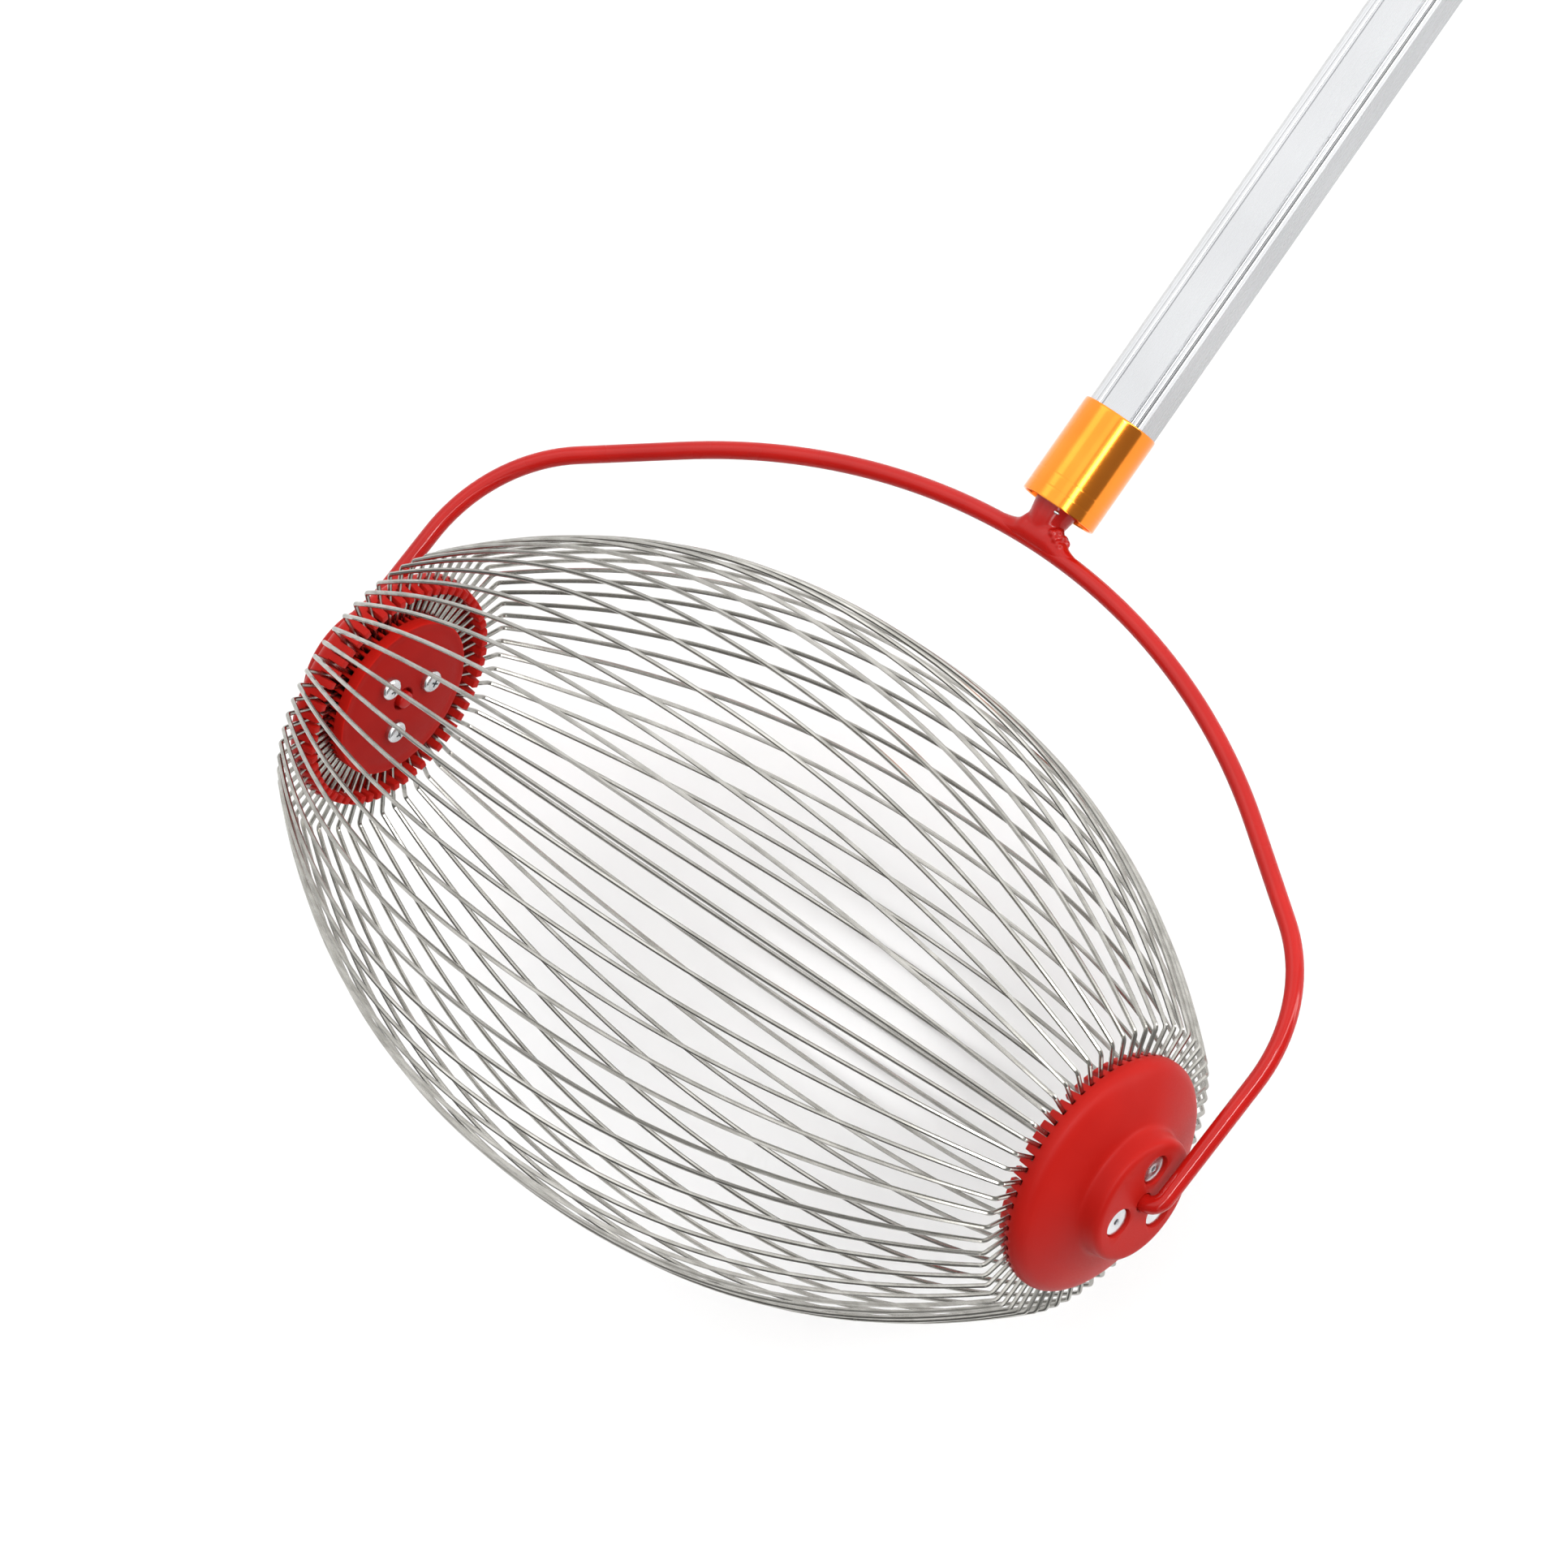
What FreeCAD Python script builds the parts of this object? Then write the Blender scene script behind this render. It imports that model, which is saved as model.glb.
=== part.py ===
import FreeCAD, Part
import math
import os
import re

import Sketcher

# Rolling nut gatherer: a barrel of sprung wires between two castellated hubs, which turns on the
# ends of a bent rod yoke, on the end of a sectional aluminium pole. It lies on the floor, as it is
# left when nobody holds it: the barrel and the pole's end cap touch the floor.
# Row frame: X along the axle, Y along the pole, Z up, origin under the middle of the whole part.
# Lengths are in millimetres and angles in degrees.

doc = FreeCAD.newDocument("nut_gatherer")
sheet = doc.addObject("Spreadsheet::Sheet", "Sizes")

# Driving dimensions
driving_sizes = [
    # the wire barrel
    ("cage_radius", 120.0),  # outside of the wires at the middle
    ("cage_half_length", 175.2),  # outer face of the wires where they bend in
    ("cage_end_radius", 58.2),  # outside of the wires where they bend in
    ("cage_fullness", 2.25),  # power of the barrel's curve, 2 is a parabola
    ("wire_count", 60),
    ("wires_in_group", 5),
    ("wire_diameter", 1.6),
    ("wire_sides", 4),  # the round wire is drawn with this many flat sides
    ("wire_runs", 9),  # straight runs along the barrel, an odd number keeps the middle flat
    ("wire_play", 0.1),
    # outer cup of the hub, heights are measured from the barrel's middle
    ("rim_radius", 46.6),
    ("rim_offset", 0.5),  # from where the wires bend in, outwards to the floor of the slots
    ("tooth_length", 5.7),
    ("tooth_taper", 1.6),  # how much smaller the radius is at the tooth tips
    ("tooth_slot_width", 2.0),
    ("cup_wall", 3.0),
    ("shoulder_rise", 3.2),
    ("shoulder_height", 4.6),
    ("shoulder_width", 6.0),
    ("dish_rise", 4.6),
    ("boss_radius", 24.0),
    ("boss_height", 9.1),
    ("boss_bevel", 2.2),
    ("boss_foot", 4.0),
    ("bearing_tube_wall", 3.2),
    ("pillar_radius", 4.6),
    # clamp disc of the hub
    ("disc_radius", 31.5),
    ("disc_thickness", 3.0),
    ("disc_drop", 7.4),  # from the slot floors of the cup to the disc's face
    ("disc_bevel", 0.6),
    ("disc_skirt_wall", 2.5),
    ("disc_band", 0.6),  # plain skirt between the plate and the fins
    ("disc_floor_gap", 0.8),
    ("disc_hole_radius", 4.6),
    ("fin_slot_width", 2.1),
    # screws and nuts of the hub
    ("screw_circle", 13.0),
    ("screw_count", 3),
    ("screw_angle", 4.0),
    ("screw_radius", 1.95),
    ("screw_head_radius", 4.1),
    ("screw_head_height", 3.3),
    ("screw_head_bevel", 0.7),
    ("screw_play", 0.15),
    ("nut_radius", 5.0),
    ("nut_thickness", 2.2),
    ("nut_recess", 1.0),  # from the boss's face down to the nut
    ("nut_play", 0.5),
    # the yoke, bent from one rod
    ("rod_radius", 3.2),
    ("running_clearance", 0.08),
    ("rod_end_proud", 2.0),  # how far the rod's end stands out of the clamp disc
    ("rod_end_bevel", 0.9),
    ("leg_gap", 2.6),  # from the boss's face to the yoke's leg
    ("foot_bend_radius", 5.6),
    ("leg_height", 56.5),
    ("corner_radius", 64.5),
    ("corner_turn", 56.4),  # how far each corner turns from the leg to the slant, in degrees
    ("arch_rise", 175.2),
    ("foot_runs", 3),  # each bend is drawn as straight runs that touch its curve
    ("corner_runs", 3),
    ("arch_runs", 7),
    # welded stub on the yoke
    ("pole_lean", 6.1),  # between the yoke's plane and the pole
    ("stub_radius", 7.5),
    ("stub_height", 14.2),
    ("web_half_length", 17.0),
    ("web_height", 10.5),
    ("web_thickness", 5.6),
    # screw joints of the pole
    ("stud_radius", 5.95),
    ("stud_start", 6.0),
    ("stud_reach", 25.0),  # from the collar's floor into the insert
    ("thread_play", 0.05),
    ("collar_radius", 15.8),
    ("collar_length", 39.0),
    ("collar_floor", 5.0),
    ("collar_foot_bevel", 0.6),
    ("collar_top_bevel", 1.4),
    ("insert_length", 30.0),
    ("insert_bevel", 1.0),
    ("insert_play", 0.03),
    ("socket_play", 0.05),
    # the pole sections
    ("pole_radius", 14.5),  # over the beads
    ("pole_flat", 13.05),  # from the axis to the middle of a flat
    ("pole_flat_half", 5.7),
    ("pole_groove_depth", 0.9),
    ("pole_bead_half", 1.15),
    ("pole_bore_radius", 11.7),
    ("pole_sides", 5),
    ("pole_turn", 34.5),  # where a bead stands, from the axle's direction
    ("section_length", 560.0),
    # grip and end cap
    ("grip_radius", 16.4),
    ("grip_length", 125.0),
    ("grip_bevel", 1.2),
    ("grip_play", 0.05),
    ("cap_rim_radius", 17.0),
    ("cap_rim_length", 5.0),
    ("cap_rim_bevel", 2.0),
    ("cap_plug_length", 22.0),
    ("cap_plug_wall", 2.4),
    ("eye_length", 20.0),
    ("eye_radius", 9.0),
    ("eye_thickness", 7.0),
    ("hang_hole_radius", 4.0),
]
# Sizes that follow from others
following_sizes = [
    ("rim_height", "cage_half_length + rim_offset"),
    ("disc_face", "rim_height - disc_drop"),
    ("dish_top", "rim_height + shoulder_rise + shoulder_height + dish_rise"),
    ("boss_face", "dish_top + boss_height"),
    ("leg_place", "boss_face + leg_gap + rod_radius"),
    ("arch_radius", "((leg_place - corner_radius) * cos(corner_turn * 1 deg)"
                    " + (leg_height - arch_rise) * sin(corner_turn * 1 deg) + corner_radius)"
                    " / (1 - sin(corner_turn * 1 deg))"),
]
for number, (name, size) in enumerate(driving_sizes + following_sizes, 1):
    sheet.set("A%d" % number, name)
    sheet.set("B%d" % number, "=" + size if isinstance(size, str) else str(size))
    sheet.setAlias("B%d" % number, name)
    doc.recompute()

size_names = {name for name, size in driving_sizes + following_sizes}


def from_sheet(words):
    """Writes the sheet's name in front of each size's name."""
    return re.sub(r"[a-z_]+", lambda m: "Sizes." + m.group() if m.group() in size_names else m.group(), words)


def value(words):
    return float(sheet.evalExpression(from_sheet(words)))


def tie(thing, place, words):
    """Binds one property to the sheet."""
    thing.setExpression(place, from_sheet(words))


# Bodies, sketches and features

def new_body(name):
    body = doc.addObject("PartDesign::Body", name)
    body.Label = name
    return body


def origin_part(body, role):
    return [part for part in body.Origin.OriginFeatures if part.Role == role][0]


def new_sketch(body, plane, height=None, turn=None):
    sketch = body.newObject("Sketcher::SketchObject", body.Name + "_sketch")
    sketch.AttachmentSupport = [(origin_part(body, plane), "")]
    sketch.MapMode = "FlatFace"
    sketch.AttachmentOffset = FreeCAD.Placement(FreeCAD.Vector(0, 0, 0), FreeCAD.Rotation(FreeCAD.Vector(0, 0, 1), 0.1))
    sketch.setExpression("AttachmentOffset.Rotation.Angle", from_sheet(turn) if turn else "0 deg")
    if height:
        tie(sketch, "AttachmentOffset.Base.z", height)
    return sketch


def fix_point(sketch, line, end, across, up):
    """Holds one end of a line at a place that the sheet gives."""
    for kind, words, axis in (("DistanceX", across, -2), ("DistanceY", up, -1)):
        distance = value(words)
        if abs(distance) < 1e-9:
            sketch.addConstraint(Sketcher.Constraint("PointOnObject", line, end, axis))
            continue
        number = sketch.addConstraint(Sketcher.Constraint(kind, -1, 1, line, end, distance))
        tie(sketch, "Constraints[%d]" % number, words)


def measure(sketch, constraint, words):
    """Adds a constraint whose size comes from the sheet."""
    number = sketch.addConstraint(constraint)
    tie(sketch, "Constraints[%d]" % number, words)


def line_through(sketch, corners, closed):
    """Draws straight lines through corners of (across, up)."""
    places = [FreeCAD.Vector(value(across), value(up), 0) for across, up in corners]
    count = len(corners) if closed else len(corners) - 1
    lines = []
    for number in range(count):
        lines.append(sketch.addGeometry(
            Part.LineSegment(places[number], places[(number + 1) % len(corners)]), False))
    for number in range(count if closed else count - 1):
        following = lines[(number + 1) % count]
        sketch.addConstraint(Sketcher.Constraint("Coincident", lines[number], 2, following, 1))
    for line, (across, up) in zip(lines, corners):
        fix_point(sketch, line, 1, across, up)
    if not closed:
        fix_point(sketch, lines[-1], 2, corners[-1][0], corners[-1][1])
    return lines


def circle(sketch, across, up, radius):
    ring = sketch.addGeometry(
        Part.Circle(FreeCAD.Vector(value(across), value(up), 0), FreeCAD.Vector(0, 0, 1), value(radius)), False)
    fix_point(sketch, ring, 3, across, up)
    measure(sketch, Sketcher.Constraint("Radius", ring, value(radius)), radius)


def revolve(body, corners, offset=None):
    """Turns an outline of (radius, height) corners round the body's Z axis, or round a line beside it."""
    sketch = new_sketch(body, "XZ_Plane")
    line_through(sketch, corners, closed=True)
    turned = body.newObject("PartDesign::Revolution", body.Name + "_turned")
    turned.Profile = sketch
    if offset:
        low, high = corners[0][1], corners[-1][1]
        axis = sketch.addGeometry(Part.LineSegment(
            FreeCAD.Vector(value(offset), value(low), 0), FreeCAD.Vector(value(offset), value(high), 0)), True)
        fix_point(sketch, axis, 1, offset, low)
        fix_point(sketch, axis, 2, offset, high)
        turned.ReferenceAxis = (sketch, ["Axis0"])
    else:
        turned.ReferenceAxis = (sketch, ["V_Axis"])
    turned.Angle = 360.0
    doc.recompute()
    return turned


def cut(body, sketch, depth, up=False):
    """Cuts a sketch's shape to a depth below its plane, or above it."""
    before = body.Shape.Volume
    pocket = body.newObject("PartDesign::Pocket", body.Name + "_cut")
    pocket.Profile = sketch
    pocket.Reversed = up
    tie(pocket, "Length", depth)
    doc.recompute()
    if body.Shape.Volume > before - 0.01:
        raise RuntimeError(body.Name + ": a cut removed nothing")
    return pocket


def pad(body, sketch, length, midplane=False):
    raised = body.newObject("PartDesign::Pad", body.Name + "_pad")
    raised.Profile = sketch
    raised.Midplane = midplane
    tie(raised, "Length", length)
    doc.recompute()
    return raised


def around(body, features, count):
    """Repeats features round the body's Z axis."""
    pattern = body.newObject("PartDesign::PolarPattern", body.Name + "_pattern")
    pattern.Originals = features
    pattern.Axis = (origin_part(body, "Z_Axis"), [""])
    pattern.Angle = 360.0
    tie(pattern, "Occurrences", count)
    body.Tip = pattern
    doc.recompute()
    return pattern


# Where the pieces go. Hub pieces are drawn along their own Z axis, which points outwards along the
# axle, with heights counted from the barrel's middle. The yoke is drawn in its own XY plane, and the
# pole's pieces along their own Z axis, from the top of the yoke's arch.

def posture():
    """Height of the axle and slope of the pole when the barrel and the end cap lie on the floor."""
    half_pitch = math.radians(180.0 / value("wire_count"))
    half_width = value("wire_diameter") / 2
    axle_height = value("cage_radius") * math.cos(half_pitch) + half_width * math.sin(half_pitch)
    lean = math.radians(value("pole_lean"))
    rise = value("arch_rise")
    along = rise * math.cos(lean) + value(pole_end + " + cap_rim_length - cap_rim_bevel")
    beside = rise * math.sin(lean) + value("cap_rim_radius")
    slope = math.asin(axle_height / math.hypot(along, beside)) - math.atan2(beside, along)
    return axle_height, math.degrees(slope)


def placed(turns, axle_height, shift):
    """Placement on the axle's middle, turned by each (axis, angle) in order."""
    whole = FreeCAD.Placement(FreeCAD.Vector(0, shift, axle_height), FreeCAD.Rotation())
    for axis, angle in turns:
        whole = whole * FreeCAD.Placement(FreeCAD.Vector(0, 0, 0), FreeCAD.Rotation(FreeCAD.Vector(*axis), angle))
    return whole


pole_start = "stub_height + collar_floor"
middle_start = pole_start + " + section_length + collar_floor"
pole_end = middle_start + " + section_length"

axle_height, pole_slope = posture()
yoke_slope = pole_slope + value("pole_lean")
slope_angle = math.radians(yoke_slope)
arch_top = FreeCAD.Vector(0, value("arch_rise") * math.cos(slope_angle), -value("arch_rise") * math.sin(slope_angle))

# the origin lies under the middle of the whole part's length
eye_reach = value(pole_end + " + cap_rim_length + eye_length")
far_end = (arch_top.y + eye_reach * math.cos(math.radians(pole_slope))
           + value("eye_thickness / 2") * math.sin(math.radians(pole_slope)))
shift = (axle_height - far_end) / 2

hub_sides = {
    "right": placed([((0, 1, 0), 90)], axle_height, shift),
    "left": placed([((0, 1, 0), -90)], axle_height, shift),
}
yoke_place = placed([((1, 0, 0), -yoke_slope)], axle_height, shift)
pole_place = FreeCAD.Placement(arch_top, FreeCAD.Rotation(FreeCAD.Vector(1, 0, 0), -(90 + pole_slope)))
pole_place.Base = pole_place.Base + FreeCAD.Vector(0, shift, axle_height)

nodes = []


def finish_node(thing, place):
    thing.Placement = place
    nodes.append(thing)
    return thing


# Hub

tooth_tips = "rim_height - tooth_length"
shoulder_end = "rim_height + shoulder_rise + shoulder_height"
cup_floor = "dish_top - cup_wall - dish_rise * 0.3"
disc_back = "disc_face + disc_thickness"
bore_radius = "rod_radius + running_clearance"
wall_radius = "rim_radius - tooth_taper - cup_wall"  # inside of the cup, where the wires rest in their slots


def outer_cup(side):
    """Dished cup with a toothed rim, a bearing tube for the rod and three screw pillars."""
    body = new_body(side + "_outer_cup")
    tube_radius = bore_radius + " + bearing_tube_wall"
    revolve(body, [
        ("rim_radius - tooth_taper", tooth_tips),
        ("rim_radius", "rim_height"),
        ("rim_radius", "rim_height + shoulder_rise"),
        ("rim_radius - shoulder_width", shoulder_end),
        ("boss_radius + boss_foot", "dish_top"),
        ("boss_radius", "dish_top + boss_foot * 0.7"),
        ("boss_radius", "boss_face - boss_bevel"),
        ("boss_radius - boss_bevel", "boss_face"),
        (bore_radius, "boss_face"),
        (bore_radius, disc_back),
        (tube_radius, disc_back),
        (tube_radius, cup_floor),
        ("disc_radius + disc_bevel", cup_floor),
        (wall_radius, shoulder_end + " - cup_wall"),
        (wall_radius, tooth_tips),
    ])
    turn = screw_turn(side)
    pillar_sketch = new_sketch(body, "XY_Plane", disc_back, turn)
    circle(pillar_sketch, "screw_circle", "0", "pillar_radius")
    pillar = pad(body, pillar_sketch, cup_floor + " + cup_wall / 2 - (" + disc_back + ")")
    hole_sketch = new_sketch(body, "XY_Plane", "boss_face", turn)
    circle(hole_sketch, "screw_circle", "0", "screw_radius + screw_play")
    hole = cut(body, hole_sketch, "boss_face - (" + disc_back + ") + screw_play")
    recess_sketch = new_sketch(body, "XY_Plane", "boss_face", turn)
    circle(recess_sketch, "screw_circle", "0", "nut_radius + nut_play")
    recess = cut(body, recess_sketch, "nut_recess + nut_thickness")
    around(body, [pillar, hole, recess], "screw_count")
    slot_sketch = new_sketch(body, "XY_Plane", tooth_tips, "180 deg / wire_count")
    wedge(slot_sketch, wall_radius + " - wire_diameter", "rim_radius + wire_diameter",
          "tooth_slot_width / rim_radius")
    slot = cut(body, slot_sketch, "tooth_length", up=True)
    around(body, [slot], "wire_count")
    return finish_node(body, hub_sides[side])


def screw_turn(side):
    """The two hubs' screws are turned by the same angle in opposite directions."""
    return ("-" if side == "right" else "") + "screw_angle * 1 deg"


def wedge(sketch, inner, outer, spread):
    """Slot outline along the sketch's X axis, which widens outwards by its spread."""
    half_inner = "(" + inner + ") * " + spread + " / 2"
    half_outer = "(" + outer + ") * " + spread + " / 2"
    mirrored_outline(sketch, [(outer, half_outer), (inner, half_inner)])


def clamp_disc(side):
    """Flat disc with a finned skirt, drawn up against the cup by the screws."""
    body = new_body(side + "_clamp_disc")
    skirt_end = cup_floor + " - disc_floor_gap"
    revolve(body, [
        ("disc_hole_radius", "disc_face"),
        ("disc_radius - disc_bevel", "disc_face"),
        ("disc_radius", "disc_face + disc_bevel"),
        ("disc_radius", skirt_end),
        ("disc_radius - disc_skirt_wall", skirt_end),
        ("disc_radius - disc_skirt_wall", disc_back),
        ("disc_hole_radius", disc_back),
    ])
    hole_sketch = new_sketch(body, "XY_Plane", disc_back, screw_turn(side))
    circle(hole_sketch, "screw_circle", "0", "screw_radius + screw_play")
    hole = cut(body, hole_sketch, "disc_thickness")
    around(body, [hole], "screw_count")
    fin_sketch = new_sketch(body, "XY_Plane", skirt_end, "180 deg / wire_count")
    wedge(fin_sketch, "disc_radius - disc_skirt_wall * 1.5", "disc_radius + disc_bevel",
          "fin_slot_width / disc_radius")
    fin = cut(body, fin_sketch, skirt_end + " - (" + disc_back + ") - disc_band")
    around(body, [fin], "wire_count")
    return finish_node(body, hub_sides[side])


def both_hubs(name, outline):
    """Turned pieces on the screws' places in both hubs, as one node."""
    bodies = []
    for side in ("left", "right"):
        body = new_body(side + "_" + name)
        turned = revolve(body, outline, offset="screw_circle")
        around(body, [turned], "screw_count")
        turn = placed([((0, 0, 1), value("screw_angle") * (-1 if side == "right" else 1))], 0, 0)
        body.Placement = hub_sides[side] * turn
        bodies.append(body)
    group = doc.addObject("Part::Compound", name)
    group.Label = name
    group.Links = bodies
    doc.recompute()
    nodes.append(group)


def clamp_screws():
    """Three long screws in each hub, with tall round heads on the clamp disc."""
    tip = "boss_face - nut_recess - nut_thickness / 3"
    head_end = "disc_face - screw_head_height"
    both_hubs("clamp_screws", [
        ("screw_circle", head_end),
        ("screw_circle + screw_head_radius - screw_head_bevel", head_end),
        ("screw_circle + screw_head_radius", head_end + " + screw_head_bevel"),
        ("screw_circle + screw_head_radius", "disc_face"),
        ("screw_circle + screw_radius", "disc_face"),
        ("screw_circle + screw_radius", tip),
        ("screw_circle", tip),
    ])


def round_nuts():
    """Three round nuts sunk in the boss of each cup."""
    seat = "boss_face - nut_recess - nut_thickness"
    both_hubs("round_nuts", [
        ("screw_circle + screw_radius + thread_play", seat),
        ("screw_circle + nut_radius", seat),
        ("screw_circle + nut_radius", seat + " + nut_thickness"),
        ("screw_circle + screw_radius + thread_play", seat + " + nut_thickness"),
    ])


# Barrel of wires

def barrel_radius(place):
    """Radius of the barrel's outside at a distance from its middle."""
    end = value("cage_end_radius")
    share = min(abs(place) / value("cage_half_length"), 1.0)
    return end + (value("cage_radius") - end) * (1 - share ** value("cage_fullness"))


def wire_path():
    """Corners of one wire's middle line as (distance along the axle, radius)."""
    half = value("wire_diameter") / 2
    runs = int(value("wire_runs"))
    bend_place = value("cage_half_length") - half
    slot_floor = value("rim_height - wire_play") - half
    hook_radius = value("disc_radius - disc_skirt_wall - wire_play") - half
    seat_radius = value(wall_radius)
    slope = (slot_floor - bend_place) / (value("cage_end_radius") - half - seat_radius)
    hook_place = slot_floor + slope * (seat_radius - hook_radius)
    hook_tip = value(cup_floor + " - disc_floor_gap")
    half_path = [(hook_tip, hook_radius), (hook_place, hook_radius)]
    for number in range(runs // 2):
        place = bend_place * (1 - 2 * number / runs)
        half_path.append((place, barrel_radius(place) - half))
    half_path.append((bend_place / runs, value("cage_radius") - half))
    return half_path + [(-place, radius) for place, radius in reversed(half_path)]


def one_wire():
    """One wire in the plane through the axle: the hub's X axis outwards, its Z axis along the axle."""
    corners = [FreeCAD.Vector(radius, 0, place) for place, radius in wire_path()]
    path = Part.makePolygon(corners)
    sides = int(value("wire_sides"))
    # flat sides face outwards, and the section keeps the round wire's width
    reach = value("wire_diameter") / 2 / math.cos(math.pi / sides)
    start = corners[0]
    ring = []
    for number in range(sides + 1):
        angle = 2 * math.pi * (number + 0.5) / sides
        ring.append(start + FreeCAD.Vector(reach * math.cos(angle), reach * math.sin(angle), 0))
    section = Part.makePolygon(ring)
    return Part.Wire(path.Edges).makePipeShell([section], True, False, 1)


def cage_wires():
    """The barrel's wires, in groups of neighbours."""
    count = int(value("wire_count"))
    group_size = int(value("wires_in_group"))
    pattern_wire = one_wire()
    for group in range(math.ceil(count / group_size)):
        wires = []
        for number in range(group * group_size, min(count, (group + 1) * group_size)):
            wire = pattern_wire.copy()
            wire.rotate(FreeCAD.Vector(0, 0, 0), FreeCAD.Vector(0, 0, 1), (number + 0.5) * 360.0 / count)
            wires.append(wire)
        node = doc.addObject("Part::Feature", "cage_wires_%02d" % (group + 1))
        node.Label = node.Name
        node.Shape = Part.makeCompound(wires)
        finish_node(node, hub_sides["right"])


# Yoke

rod_tip = "disc_face - rod_end_proud"


def bend_corners(across, up, radius, first, last, runs):
    """Corners of the straight runs that touch a bend's curve from its first angle to its last."""
    step = (last - first) / value(runs)
    corners = []
    for number in range(int(value(runs))):
        angle = first + step * (number + 0.5)
        reach = "(%s) / cos(%.9f deg) * " % (radius, step / 2)
        corners.append((
            "%s + %scos(%.9f deg)" % (across, reach, angle),
            "%s + %ssin(%.9f deg)" % (up, reach, angle)))
    return corners


def yoke_rod():
    """Half of the bent rod is swept along its middle line, then mirrored."""
    body = new_body("yoke_rod")
    path = new_sketch(body, "XY_Plane")
    turn = value("corner_turn")
    corners = [(rod_tip, "0")]
    corners += bend_corners(
        "leg_place - foot_bend_radius", "foot_bend_radius", "foot_bend_radius", -90, 0, "foot_runs")
    corners += bend_corners("leg_place - corner_radius", "leg_height", "corner_radius", 0, turn, "corner_runs")
    corners += bend_corners("0", "arch_rise - arch_radius", "arch_radius", turn, 90, "arch_runs")
    corners.append(("0", "arch_rise"))
    lines = line_through(path, corners, closed=False)
    section = new_sketch(body, "YZ_Plane", rod_tip)
    circle(section, "0", "0", "rod_radius")
    doc.recompute()
    rod = body.newObject("PartDesign::AdditivePipe", "yoke_rod_pipe")
    rod.Profile = section
    rod.Spine = (path, ["Edge%d" % number for number in range(1, len(lines) + 1)])
    rod.Transition = "Right corner"
    doc.recompute()
    end_edges = []
    for number, edge in enumerate(rod.Shape.Edges, 1):
        if edge.Closed and abs(edge.BoundBox.XMax - value(rod_tip)) < 0.001:
            end_edges.append("Edge%d" % number)
    bevelled = body.newObject("PartDesign::Chamfer", "yoke_rod_end")
    bevelled.Base = (rod, end_edges)
    tie(bevelled, "Size", "rod_end_bevel")
    doc.recompute()
    whole = body.newObject("PartDesign::Mirrored", "yoke_rod_whole")
    whole.Originals = [rod, bevelled]
    whole.MirrorPlane = (origin_part(body, "YZ_Plane"), [""])
    body.Tip = whole
    doc.recompute()
    return finish_node(body, yoke_place)


def yoke_stub(rod):
    """Stub with a web, welded on the arch and saddled over the rod, with a hole for the stud."""
    block = new_body("stub_block")
    neck_sketch = new_sketch(block, "XY_Plane")
    circle(neck_sketch, "0", "0", "stub_radius")
    pad(block, neck_sketch, "stub_height")
    web_sketch = new_sketch(block, "XZ_Plane", turn="90 deg")
    mirrored_outline(web_sketch, [("web_height", "stub_radius / 2"), ("rod_radius / 4", "web_half_length")])
    pad(block, web_sketch, "web_thickness", midplane=True)
    bore_sketch = new_sketch(block, "XY_Plane", "stub_height")
    circle(bore_sketch, "0", "0", "stud_radius + thread_play")
    cut(block, bore_sketch, "stub_height - stud_start")
    block.Placement = pole_place
    stub = doc.addObject("Part::Cut", "yoke_stub")
    stub.Label = "yoke_stub"
    stub.Base = block
    stub.Tool = rod
    doc.recompute()
    nodes.append(stub)
    return stub


# Pole

def collar(name, seat):
    """Turned collar over a screw joint: a floor with a hole for the stud, and a socket for the pole."""
    body = new_body(name)
    top = seat + " + collar_length"
    revolve(body, [
        ("stud_radius + thread_play", seat),
        ("collar_radius - collar_foot_bevel", seat),
        ("collar_radius", seat + " + collar_foot_bevel"),
        ("collar_radius", top + " - collar_top_bevel"),
        ("pole_radius + socket_play", top),
        ("pole_radius + socket_play", seat + " + collar_floor"),
        ("stud_radius + thread_play", seat + " + collar_floor"),
    ])
    return finish_node(body, pole_place)


def stud(name, start, seat):
    """Threaded stud from start, through the collar's floor, into the insert."""
    body = new_body(name)
    end = seat + " + collar_floor + stud_reach"
    revolve(body, [
        ("0", start),
        ("stud_radius", start),
        ("stud_radius", end),
        ("0", end),
    ])
    return finish_node(body, pole_place)


def insert(name, start):
    """Plug pressed into a pole section, with a threaded hole for the stud."""
    body = new_body(name)
    end = start + " + insert_length"
    depth = start + " + stud_reach + insert_bevel"
    revolve(body, [
        ("stud_radius + thread_play", start),
        ("pole_bore_radius - insert_play", start),
        ("pole_bore_radius - insert_play", end + " - insert_bevel"),
        ("pole_bore_radius - insert_play - insert_bevel", end),
        ("0", end),
        ("0", depth),
        ("stud_radius + thread_play", depth),
    ])
    return finish_node(body, pole_place)


def stud_holder(name, end):
    """Plug pressed into the top of the lower section, which holds the middle stud."""
    body = new_body(name)
    start = end + " - insert_length"
    revolve(body, [
        ("0", start),
        ("pole_bore_radius - insert_play - insert_bevel", start),
        ("pole_bore_radius - insert_play", start + " + insert_bevel"),
        ("pole_bore_radius - insert_play", end),
        ("stud_radius + thread_play", end),
        ("stud_radius + thread_play", end + " - stud_reach"),
        ("0", end + " - stud_reach"),
    ])
    return finish_node(body, pole_place)


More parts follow.
